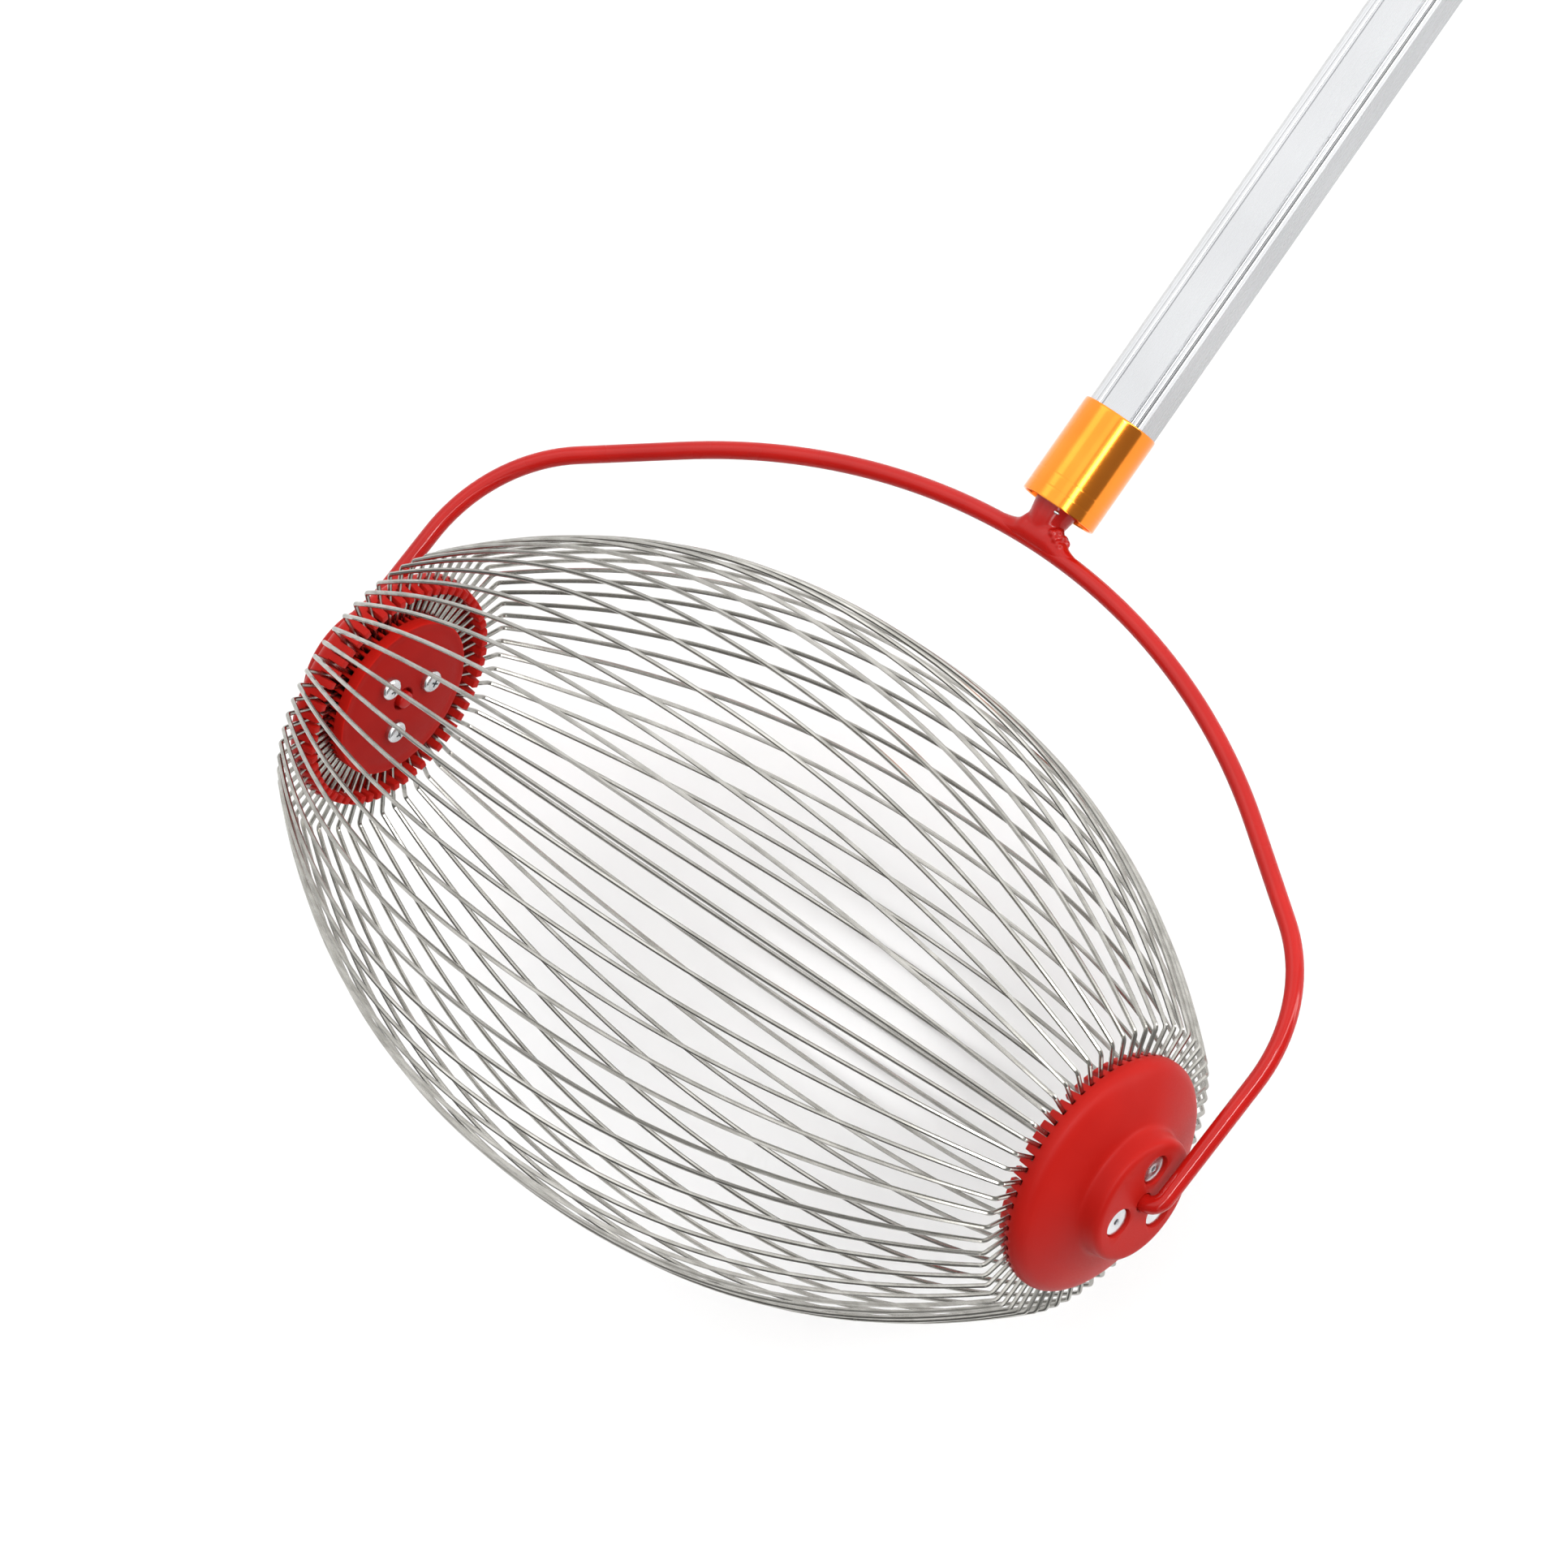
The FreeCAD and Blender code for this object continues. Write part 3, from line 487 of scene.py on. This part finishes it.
cup = {
    "sides": 300,       # five to a wire: three for the tooth and two for the slot
    "turn": 0.6,        # half a side, which puts the middle of a tooth at 0
    "tooth": (1, 4),    # its sides, counted from the middle of a slot
    "toothLength": 5.7,
    "tipRadius": 45.0,
    "outline": [        # radius and height of the outside, from the slot's floor up to the bore
        (46.6, 175.7), (46.6, 177.6), (46.35, 178.9), (45.7, 180.1), (44.6, 181.3), (43.0, 182.4),
        (40.8, 183.4), (37.5, 184.7), (34.0, 186.0), (31.0, 187.0), (28.8, 187.7), (26.9, 188.3),
        (26.0, 188.75), (25.4, 189.4), (25.05, 190.4), (24.8, 192.2), (24.55, 194.2), (24.35, 195.2),
        (23.95, 196.1), (23.3, 196.7), (22.5, 197.06), (21.6, 197.2), (19.4, 197.2), (5.2, 197.2), (4.0, 197.2),
        (3.43, 196.8)],
    "inside": [         # the bore, the bearing tube and the inner wall, down to the slot's floor
        (3.43, 171.3), (6.48, 171.3), (6.48, 182.6), (7.4, 183.5), (12.0, 183.72), (32.1, 183.72),
        (38.5, 182.1), (40.6, 181.2), (41.7, 180.0), (42.0, 178.6), (42.0, 175.7)],
    "toothBevel": (0.28, 42),   # width, and the least angle that it rounds
    "recess": {"radius": 6.0, "length": 10.0, "middle": 199.0, "sides": 64},    # cut for a nut
    "recessBevel": (0.3, 80),
    "pillar": {"radius": 4.6, "length": 13.0, "middle": 177.8, "sides": 40},    # stands round a clamp screw
}

fasteners = {
    "circle": 13.0,
    "start": {"left": 4.0, "right": -4.0},  # where the first of three stands
    "turn": {"left": 20, "right": 5},       # of the first one itself
    "nextTurn": 37,
}


def slotShare(co):
    # how many sides on from the middle of a slot, of the five in one pitch
    pitch = 360 / wires["count"]
    angle = math.degrees(math.atan2(co.y, co.x))
    return (angle - pitch / 2) % pitch * cup["sides"] / 360


def outerCup():
    rim, floor = cup["outline"][0]
    tips = floor - cup["toothLength"]
    shell = turnedPiece("outerCup", cup["outline"] + cup["inside"] + [cup["outline"][0]], cup["sides"], cup["turn"])
    first, last = cup["tooth"]
    editWhere(shell, "FACE", lambda co: near(co.z, mm(floor)) and first < slotShare(co) < last)
    drawFaces(0, 0, tips - floor)
    editWhere(shell, "VERT", lambda co: near(co.z, mm(tips)) and fromAxis(co) > mm(cup["tipRadius"]))
    shrink = cup["tipRadius"] / rim
    scalePicked((shrink, shrink, 1), (0, 0, tips))
    bpy.ops.object.mode_set(mode="OBJECT")
    bevelEdges(shell, *cup["toothBevel"])
    return shell


def fastenerPlaces(side):
    for number in range(3):
        angle = math.radians(fasteners["start"][side] + 120 * number)
        yield fasteners["circle"] * math.cos(angle), fasteners["circle"] * math.sin(angle)


def standingAt(place, size):
    return addCylinder(size["radius"], size["length"], size["sides"], (*place, size["middle"]))


def bothCups():
    pattern = outerCup()
    for side in ("left", "right"):
        shell = copyOf(pattern, side + "OuterCup")
        pillars = []
        for place in fastenerPlaces(side):
            cutWith(shell, standingAt(place, cup["recess"]))
            pillars.append(standingAt(place, cup["pillar"]))
        bevelEdges(shell, *cup["recessBevel"])
        shell = joinPieces([shell] + pillars, side + "OuterCup")
        finishPiece(shell, hubPlace[side], "cupPlastic", "roller", side + "_outer_cup")
    bpy.data.objects.remove(pattern)


bothCups()
print("cups made")


# Clamp discs

disc = {
    "sides": 300,           # five to a wire: two for the fin and three for the gap
    "fin": (1.5, 3.5),      # its sides, counted from the middle of a gap
    "outline": [            # radius and height, from the hole over the face to the fins' root and back
        (4.6, 171.3), (4.6, 168.6), (4.9, 168.3), (12.0, 168.3), (26.4, 168.3), (26.7, 168.45), (29.2, 168.45),
        (30.9, 168.45), (31.3, 168.6), (31.5, 169.0), (31.5, 172.8), (29.0, 172.8), (29.0, 171.3), (4.6, 171.3)],
    "finRoot": 172.8,
    "finEnd": 182.92,
    "finBevel": (0.2, 50),  # width, and the least angle that it rounds
}


def clampDisc():
    plate = turnedPiece("clampDisc", disc["outline"], disc["sides"])
    first, last = disc["fin"]
    editWhere(plate, "FACE", lambda co: near(co.z, mm(disc["finRoot"])) and first < slotShare(co) < last)
    drawFaces(0, 0, disc["finEnd"] - disc["finRoot"])
    bpy.ops.object.mode_set(mode="OBJECT")
    bevelEdges(plate, *disc["finBevel"], segments=1)
    return plate


def bothDiscs():
    pattern = clampDisc()
    for side in ("left", "right"):
        plate = copyOf(pattern, side + "ClampDisc")
        finishPiece(plate, hubPlace[side], "discPlastic", "roller", side + "_clamp_disc",
                    smoothAngle=40)
    bpy.data.objects.remove(pattern)


bothDiscs()
print("discs made")


# Screws and nuts

screw = {
    "sides": 48,
    "outline": [    # radius and height, from the domed head's face down the shank to its end
        (1.8, 165.0), (2.7, 165.16), (3.4, 165.45), (3.92, 165.85), (4.24, 166.35), (4.35, 166.9), (4.35, 168.3),
        (1.95, 168.3), (1.95, 193.9), (1.3, 194.4)],
    "cross": (4.3, 1.05, 2.6),      # length, width and depth of its slots
    "crossTaper": (0.45, 0.6),      # how much of the length and the width is left at the bottom
    "crossTurn": 20,
}

nut = {
    "sides": 64,
    "outline": [    # a round nut with a small hole in its face
        (2.05, 194.0), (5.55, 194.0), (5.55, 195.7), (5.36, 196.06), (4.9, 196.2), (1.5, 196.2), (1.22, 196.1),
        (1.12, 195.85), (1.12, 194.6), (2.05, 194.6), (2.05, 194.0)],
}


def clampScrew():
    body = turnedPiece("clampScrew", screw["outline"], screw["sides"], closed=True)
    face = screw["outline"][0][1]
    length, width, depth = screw["cross"]
    for turn in (0, 90):
        deselectAll()
        bpy.ops.mesh.primitive_cube_add(size=1, location=mm(0, 0, face),
                                        rotation=(0, 0, math.radians(turn + screw["crossTurn"])))
        blade = bpy.context.object
        blade.scale = mm(length, width, depth * 2)
        applyPlace()
        editWhere(blade, "VERT", lambda co: co.z > mm(face))
        scalePicked((*screw["crossTaper"], 1), (0, 0, face))
        bpy.ops.object.mode_set(mode="OBJECT")
        cutWith(body, blade)
    return body


def roundNut():
    return turnedPiece("roundNut", nut["outline"], nut["sides"])


def sixOf(pattern, name, standsFor):
    copies = []
    for side in ("left", "right"):
        for number, (across, up) in enumerate(fastenerPlaces(side)):
            turn = fasteners["nextTurn"] * number + fasteners["turn"][side]
            twin = copyOf(pattern, name)
            twin.data.transform(Matrix.Translation(mm(across, up, 0)) @ Matrix.Rotation(math.radians(turn), 4, "Z"))
            twin.data.transform(hubPlace[side])
            copies.append(twin)
    bpy.data.objects.remove(pattern)
    finishPiece(joinPieces(copies, name), Matrix(), "zincCoat", "roller", standsFor, smoothAngle=30)


sixOf(clampScrew(), "clampScrews", "clamp_screws")
sixOf(roundNut(), "roundNuts", "round_nuts")
print("screws and nuts made")


# Yoke

rod = {
    "radius": 3.35,
    "sides": 32,
    "tip": 166.3,
    "tipRounding": [(0.5, 0.95), (0.4, 0.86), (0.2, 0.72)],     # steps towards the tip: length and shrinking
    "legPlace": 203.0,
    "footBend": 5.6,
    "legHeight": 56.5,
    "cornerRadius": 64.5,
    "cornerTurn": 56.4,
    "archRadius": 253.04,
    "slant": (34.164, 22.700),      # straight run between the corner and the arch
    "steps": {"foot": 14, "corner": 20, "arch": 30},
    "mergeDistance": 0.2,           # of the two halves, at the middle of the arch
}


def bendEdges(steps, turn, across, up):
    bpy.ops.mesh.spin(steps=steps, angle=math.radians(-turn), center=mm(across, up, 0), axis=(0, 0, 1))


def yokeRod():
    # half of the rod, drawn in the yoke's XY plane: straight axle end, foot bend, leg, corner and arch
    place = rod["tip"] + sum(step for step, shrink in rod["tipRounding"])
    foot = rod["legPlace"] - rod["footBend"]
    deselectAll()
    bpy.ops.mesh.primitive_circle_add(vertices=rod["sides"], radius=mm(rod["radius"]), location=mm(place, 0, 0),
                                      rotation=(0, math.radians(90), 0))
    half = nameAs(bpy.context.object, "yokeRod")
    applyPlace()
    editAll(half)
    drawEdges(foot - place, 0, 0)
    bendEdges(rod["steps"]["foot"], 90, foot, rod["footBend"])
    drawEdges(0, rod["legHeight"] - rod["footBend"], 0)
    bendEdges(rod["steps"]["corner"], rod["cornerTurn"], rod["legPlace"] - rod["cornerRadius"], rod["legHeight"])
    drawEdges(-rod["slant"][0], rod["slant"][1], 0)
    bendEdges(rod["steps"]["arch"], 90 - rod["cornerTurn"], 0, layout["archRise"] - rod["archRadius"])
    editWhere(half, "VERT", lambda co: near(co.x, mm(place)))
    for step, shrink in rod["tipRounding"]:
        place -= step
        drawEdges(-step, 0, 0)
        scalePicked((1, shrink, shrink), (place, 0, 0))
    fanRing()
    bpy.ops.object.mode_set(mode="OBJECT")
    applyModifier(half, "MIRROR", use_axis=(True, False, False), use_mirror_merge=True,
                  merge_threshold=mm(rod["mergeDistance"]))
    editAll(half)
    leaveEdit()
    finishPiece(half, yokePlace, "yokePaint", "handle", "yoke_rod", smoothAngle=60)


yokeRod()
print("yoke rod made")


# Welded stub on the arch, drawn in the pole's frame: X along the arch, Z up the pole

stub = {
    "sides": {"neck": 64, "web": 32, "bead": 24, "weldDrop": 20},
    "neck": [       # radius and height of the tube, which narrows down onto the rod
        (2.2, -1.8), (3.2, -0.4), (4.4, 1.4), (5.4, 3.4), (6.3, 5.5), (7.0, 7.6), (7.5, 9.4), (7.8, 11.2), (8.15, 12.8),
        (8.45, 14.9), (8.45, 18.3)],
    "neckShift": -1.1,
    "webStart": (9.8, 5.6),     # the web's upper edge and half its thickness inside the neck
    "webFoot": -2.7,
    "smoothSide": [     # steps of a web: reach along the arch, its upper edge and half its thickness
        (3.4, 10.0, 5.6), (6.4, 9.8, 5.5), (7.6, 9.2, 5.2), (8.2, 8.0, 4.9), (8.8, 6.8, 4.6), (9.6, 5.7, 4.2),
        (10.8, 4.8, 3.9), (12.4, 4.2, 3.65), (14.6, 3.75, 3.45), (17.5, 3.45, 3.3), (20.0, 3.2, 3.2)],
    "weldSide": [
        (4.4, 9.8, 5.6), (6.6, 9.0, 5.2), (7.6, 8.2, 4.8), (8.9, 7.2, 4.5), (10.4, 6.0, 4.1), (12.0, 4.9, 3.7),
        (14.3, 4.0, 3.4), (18.0, 3.3, 3.2)],
    "archDrop": 0.002,  # the arch falls away to both sides by this times the square of the reach
    "beads": [          # place along the arch, sideways and up, and size, of the weld's lumps
        (7.8, -4.0, 7.0, 1.5), (9.3, -3.3, 5.7, 1.3), (10.4, -3.1, 3.0, 1.4), (8.4, -4.3, 4.2, 1.3),
        (6.4, -4.9, 5.6, 1.4), (9.4, -1.2, 6.3, 1.4), (10.6, 0.6, 5.2, 1.5), (8.6, 3.6, 5.6, 1.6),
        (6.8, 4.6, 6.4, 1.6), (9.9, 3.0, 3.4, 1.5), (5.2, 4.9, 4.2, 1.6)],
    "voxel": 0.42,
    "smoothing": {"web": 22, "beads": 5},   # rounds of it
    "weldDrop": {"place": (3.6, -6.3, 12.5), "radius": 1.1, "shape": (1.25, 0.7, 0.8)},
}


def stubWeb(side, steps):
    # an oval is drawn out along the arch step by step, lower and thinner each time
    top, thickness = stub["webStart"]
    foot = stub["webFoot"]
    deselectAll()
    bpy.ops.mesh.primitive_circle_add(vertices=stub["sides"]["web"], radius=1, fill_type="NGON",
                                      rotation=(0, math.radians(90), 0))
    web = bpy.context.object
    applyPlace()
    web.scale = (1, mm(thickness), mm((top - foot) / 2))
    web.location = mm(0, 0, (top + foot) / 2)
    applyPlace()
    editAll(web)
    reach = 0.0
    for nextReach, nextTop, nextThickness in steps:
        drawFaces(side * (nextReach - reach), 0, 0)
        scalePicked((1, nextThickness / thickness, (nextTop - foot) / (top - foot)), (side * nextReach, 0, foot))
        reach, top, thickness = nextReach, nextTop, nextThickness
    leaveEdit()
    for vertex in web.data.vertices:
        vertex.co.z -= mm(stub["archDrop"] * (vertex.co.x * 1000) ** 2)
    return web


def meltTogether(pieces, rounds):
    welded = joinPieces(pieces, "yokeStub")
    applyModifier(welded, "REMESH", mode="VOXEL", voxel_size=mm(stub["voxel"]), adaptivity=0.0)
    applyModifier(welded, "SMOOTH", factor=0.5, iterations=rounds)
    return welded


def yokeStub():
    neck = turnedPiece("yokeStub", stub["neck"], stub["sides"]["neck"], closed=True)
    neck.data.transform(Matrix.Translation(mm(stub["neckShift"], 0, 0)))
    webs = [stubWeb(-1, stub["smoothSide"]), stubWeb(1, stub["weldSide"])]
    welded = meltTogether([neck] + webs, stub["smoothing"]["web"])
    beads = [addBall(size, place, stub["sides"]["bead"]) for *place, size in stub["beads"]]
    welded = meltTogether([welded] + beads, stub["smoothing"]["beads"])
    finishPiece(welded, polePlace, "yokePaint", "handle", "yoke_stub", smoothAngle=80)


def weldDrop():
    # a bare drop of weld metal under the collar
    size = stub["weldDrop"]
    drop = nameAs(addBall(size["radius"], size["place"], stub["sides"]["weldDrop"], size["shape"]), "weldDrop")
    applyModifier(drop, "SUBSURF", levels=1, render_levels=1)
    finishPiece(drop, polePlace, "zincCoat", "handle", smoothAngle=80)


yokeStub()
weldDrop()
print("stub made")


# Collars over the screw joints

collar = {
    "sides": 128,
    "outline": [    # radius and height above the collar's foot, round the whole section
        (6.0, 4.0), (13.9, 4.0), (14.15, 0.45), (14.4, 0.1), (14.65, 0.0), (14.9, 0.12), (15.05, 0.5), (15.05, 0.8),
        (15.05, 4.3), (15.05, 4.55), (14.98, 4.7), (14.98, 5.1), (15.05, 5.25), (15.05, 5.5), (15.05, 9.3),
        (15.05, 9.55), (14.98, 9.7), (14.98, 10.1), (15.05, 10.25), (15.05, 10.5), (15.05, 38.2), (15.05, 38.5),
        (15.02, 39.05), (14.92, 39.45), (14.76, 39.69), (14.56, 39.75), (14.56, 5.0), (6.0, 5.0), (6.0, 4.0)],
    "feet": {"lower": 13.8, "middle": 578.8},
}


def bothCollars():
    for part, foot in collar["feet"].items():
        outline = [(radius, foot + height) for radius, height in collar["outline"]]
        sleeve = turnedPiece(part + "Collar", outline, collar["sides"])
        finishPiece(sleeve, polePlace, "collarGold", "handle", part + "_collar", smoothAngle=30)


bothCollars()
print("collars made")


# Pole sections

pole = {
    "flats": 5,
    "turn": 34.5,
    "bore": 11.7,
    "length": 560.0,
    "flat": [       # half of a flat, from near its middle to a groove, as (out from the axis, sideways)
        (13.05, 1.725), (13.05, 4.025), (13.05, 5.75)],
    "bead": [       # a groove and half of a bead, up to the bead's top
        (13.86, 2.84), (13.68, 2.55), (13.45, 2.2), (13.32, 1.9), (13.28, 1.6), (13.36, 1.32), (13.55, 1.12),
        (13.8, 1.02), (14.06, 0.86), (14.31, 0.6), (14.45, 0.3), (14.5, 0.0)],
    "starts": {"lower": 19.2, "upper": 584.2},
}


def poleOutline():
    # half of a flat and half of a bead, mirrored and turned round the axis
    halfTurn = math.radians(180 / pole["flats"])
    half = pole["flat"] + [(out * math.cos(halfTurn) + side * math.sin(halfTurn),
                            out * math.sin(halfTurn) - side * math.cos(halfTurn)) for out, side in pole["bead"]]
    whole = [(out, -side) for out, side in reversed(half[:-1])] + half
    outline = []
    for number in range(pole["flats"]):
        turn = math.radians(pole["turn"] + (number - 0.5) * 360 / pole["flats"])
        outline += [(out * math.cos(turn) - side * math.sin(turn), out * math.sin(turn) + side * math.cos(turn))
                    for out, side in whole]
    return outline


def bothPoles():
    outline = poleOutline()
    count = len(outline)
    wallMiddle = mm(pole["bore"] + pole["flat"][0][0]) / 2
    for part, start in pole["starts"].items():
        # the extrusion's section, drawn out along the pole
        mesh = bpy.data.meshes.new(part + "Pole")
        mesh.from_pydata([mm(across, up, start) for across, up in outline],
                         [(number, (number + 1) % count) for number in range(count)], [])
        tube = bpy.data.objects.new(part + "Pole", mesh)
        bpy.context.scene.collection.objects.link(tube)
        editAll(tube)
        drawEdges(0, 0, pole["length"])
        bpy.ops.object.mode_set(mode="OBJECT")
        # each end is drawn in to the round bore
        for end in (start, start + pole["length"]):
            editWhere(tube, "VERT", lambda co: near(co.z, mm(end)) and fromAxis(co) > wallMiddle)
            bpy.ops.mesh.extrude_edges_move()
            bpy.ops.object.mode_set(mode="OBJECT")
            for vertex in tube.data.vertices:
                if vertex.select:
                    shrink = mm(pole["bore"]) / fromAxis(vertex.co)
                    vertex.co = (vertex.co.x * shrink, vertex.co.y * shrink, vertex.co.z)
        editWhere(tube, "VERT", lambda co: fromAxis(co) < wallMiddle)
        bpy.ops.mesh.bridge_edge_loops()
        leaveEdit()
        finishPiece(tube, polePlace, "poleAluminium", "handle", part + "_pole", smoothAngle=24)


bothPoles()
print("pole made")


# Grip sleeve and end cap

grip = {
    "sides": 96,
    "start": 1019.2,
    "end": 1144.2,
    "foot": [(14.55, 0.0), (15.2, 0.0), (15.9, 0.35), (16.3, 1.0), (16.4, 1.9)],    # radius and height over the start
    "groove": [(16.4, 0.0), (16.2, 0.45), (15.65, 0.85), (15.55, 1.3), (15.65, 1.75), (16.2, 2.15), (16.4, 2.6)],
    "grooves": 21,
    "firstGroove": 1030.0,
    "pitch": 5.3,
    "top": [(16.4, -1.0), (16.2, -0.3), (15.8, 0.0), (14.55, 0.0)],     # radius and height over the end
}


def gripSleeve():
    runs = [(grip["foot"], grip["start"])]
    runs += [(grip["groove"], grip["firstGroove"] + grip["pitch"] * number) for number in range(grip["grooves"])]
    runs += [(grip["top"], grip["end"])]
    outline = [(radius, start + height) for run, start in runs for radius, height in run]
    sleeve = turnedPiece("gripSleeve", outline + [outline[0]], grip["sides"])
    finishPiece(sleeve, polePlace, "gripRubber", "handle", "grip_sleeve", smoothAngle=30)


endCap = {
    "outline": [    # the plug in the pole and the domed rim
        (9.3, 1122.4), (11.2, 1122.4), (11.55, 1122.9), (11.55, 1144.2), (16.5, 1144.2), (16.9, 1144.4),
        (17.0, 1144.9), (17.0, 1147.1), (16.82, 1147.9), (16.3, 1148.6), (15.5, 1149.05), (14.4, 1149.25),
        (11.0, 1149.6), (7.0, 1149.85)],
    "sides": 96,
    "eyeCentre": 1160.2,
    "eye": (9.0, 7.0, 72),      # radius, length and sides
    "hole": (4.0, 20.0, 56),    # the same, of what cuts it
    "eyeFoot": 12.7,            # how far the eye's lower half is drawn down into the dome
    "eyeBevel": (1.6, 60),      # width, and the least angle that it rounds
}


def hangingCap():
    rim = turnedPiece("endCap", endCap["outline"], endCap["sides"], closed=True)
    centre = (0, 0, endCap["eyeCentre"])
    eye = addCylinder(*endCap["eye"], centre, lying=True)
    editWhere(eye, "VERT", lambda co: co.z < mm(endCap["eyeCentre"]) - tolerance)
    bpy.ops.transform.translate(value=mm(0, 0, -endCap["eyeFoot"]))
    bpy.ops.object.mode_set(mode="OBJECT")
    cutWith(eye, addCylinder(*endCap["hole"], centre, lying=True))
    bevelEdges(eye, *endCap["eyeBevel"], segments=4)
    finishPiece(joinPieces([rim, eye], "endCap"), polePlace, "capPlastic", "handle", "end_cap")


gripSleeve()
hangingCap()
print("grip and cap made")


# Camera, floor and light

view = {
    "place": (2.04353, -0.47136, 3.70833),
    "right": (0.72077, 0.546173, -0.426835),
    "up": (-0.48264, 0.837402, 0.256539),
    "back": (0.49755, 0.021106, 0.867181),
    "lens": 266.35,
    "sensor": 36.0,
    "farEnd": 50.0,
}


def setCamera():
    cameraData = bpy.data.cameras.new("photoCamera")
    cameraData.lens = view["lens"]
    cameraData.sensor_width = view["sensor"]
    cameraData.clip_end = view["farEnd"]
    camera = bpy.data.objects.new("photoCamera", cameraData)
    bpy.context.scene.collection.objects.link(camera)
    turn = Matrix((view["right"], view["up"], view["back"])).transposed()
    camera.matrix_world = Matrix.Translation(view["place"]) @ turn.to_4x4()
    bpy.context.scene.camera = camera


studio = {
    "floorMiddle": (-1.63, -0.5, 0.0),
    "floorSize": 4.0,
    "floorGrey": 0.86,
    "floorRoughness": 0.9,
    "floorGloss": 0.1,
    "sky": [        # soft panels from the left (-1) over the top to the dark right end (1), with their strength
        (-1.0, 1.25), (-0.7, 1.25), (-0.6, 1.7), (-0.38, 1.7), (-0.28, 1.6), (0.1, 1.6), (0.2, 1.85),
        (0.38, 1.85), (0.45, 0.85), (0.52, 1.3), (0.6, 1.8), (0.635, 8.5), (0.705, 8.5), (0.76, 0.4), (1.0, 0.34)],
    "skyFront": [   # share of that light from the near side (-1) to the far side (1)
        (-1.0, 0.12), (-0.6, 0.15), (-0.25, 1.0), (1.0, 1.0)],
    "lampTarget": (0.0, -0.45, 0.1),
    "softLamp": {"place": (-1.3, 0.5, 2.6), "power": 4.0, "size": 1.4},
    "stripLamp": {"place": (2.6, 0.75, 2.9), "power": 36.0, "size": (1.3, 0.45)},
}


def grey(amount):
    return (amount, amount, amount, 1)


def setFloor():
    deselectAll()
    bpy.ops.mesh.primitive_plane_add(size=studio["floorSize"], location=studio["floorMiddle"])
    floor = bpy.context.object
    floor.name = "studioFloor"
    material, tree, shader = newMaterial("floorPaper")
    shader.inputs["Base Color"].default_value = grey(studio["floorGrey"])
    shader.inputs["Roughness"].default_value = studio["floorRoughness"]
    shader.inputs["Specular IOR Level"].default_value = studio["floorGloss"]
    floor.data.materials.append(material)


def setSky():
    # the strength of the panels across, times their share from front to back
    world = bpy.data.worlds.new("studioSky")
    bpy.context.scene.world = world
    world.use_nodes = True
    tree = world.node_tree
    coordinates = tree.nodes.new("ShaderNodeTexCoord")
    directions = tree.nodes.new("ShaderNodeSeparateXYZ")
    tree.links.new(coordinates.outputs["Generated"], directions.inputs["Vector"])
    product = tree.nodes.new("ShaderNodeVectorMath")
    product.operation = "MULTIPLY"
    for number, (axis, panels) in enumerate((("X", studio["sky"]), ("Y", studio["skyFront"]))):
        share = rangeOf(tree, directions.outputs[axis], 0, 1, (-1, 1))
        shade = rampOf(tree, share, [((place + 1) / 2, grey(amount)) for place, amount in panels])
        tree.links.new(shade, product.inputs[number])
    tree.links.new(product.outputs["Vector"], tree.nodes["Background"].inputs["Color"])


def addLamp(name):
    lamp = studio[name]
    deselectAll()
    bpy.ops.object.light_add(type="AREA", location=lamp["place"])
    light = nameAs(bpy.context.object, name)
    light.data.energy = lamp["power"]
    aim = Vector(studio["lampTarget"]) - Vector(lamp["place"])
    light.rotation_euler = aim.to_track_quat("-Z", "Y").to_euler()
    return light


def setLamps():
    soft = addLamp("softLamp")
    soft.data.size = studio["softLamp"]["size"]
    # a strip that shows only as a streak in the gloss of the rod and the collar
    strip = addLamp("stripLamp")
    strip.data.shape = "RECTANGLE"
    strip.data.size, strip.data.size_y = studio["stripLamp"]["size"]
    strip.visible_diffuse = False


setCamera()
setFloor()
setSky()
setLamps()
bpy.context.scene.view_settings.view_transform = "Standard"
bpy.context.scene.view_settings.look = "None"
print("camera and studio set")
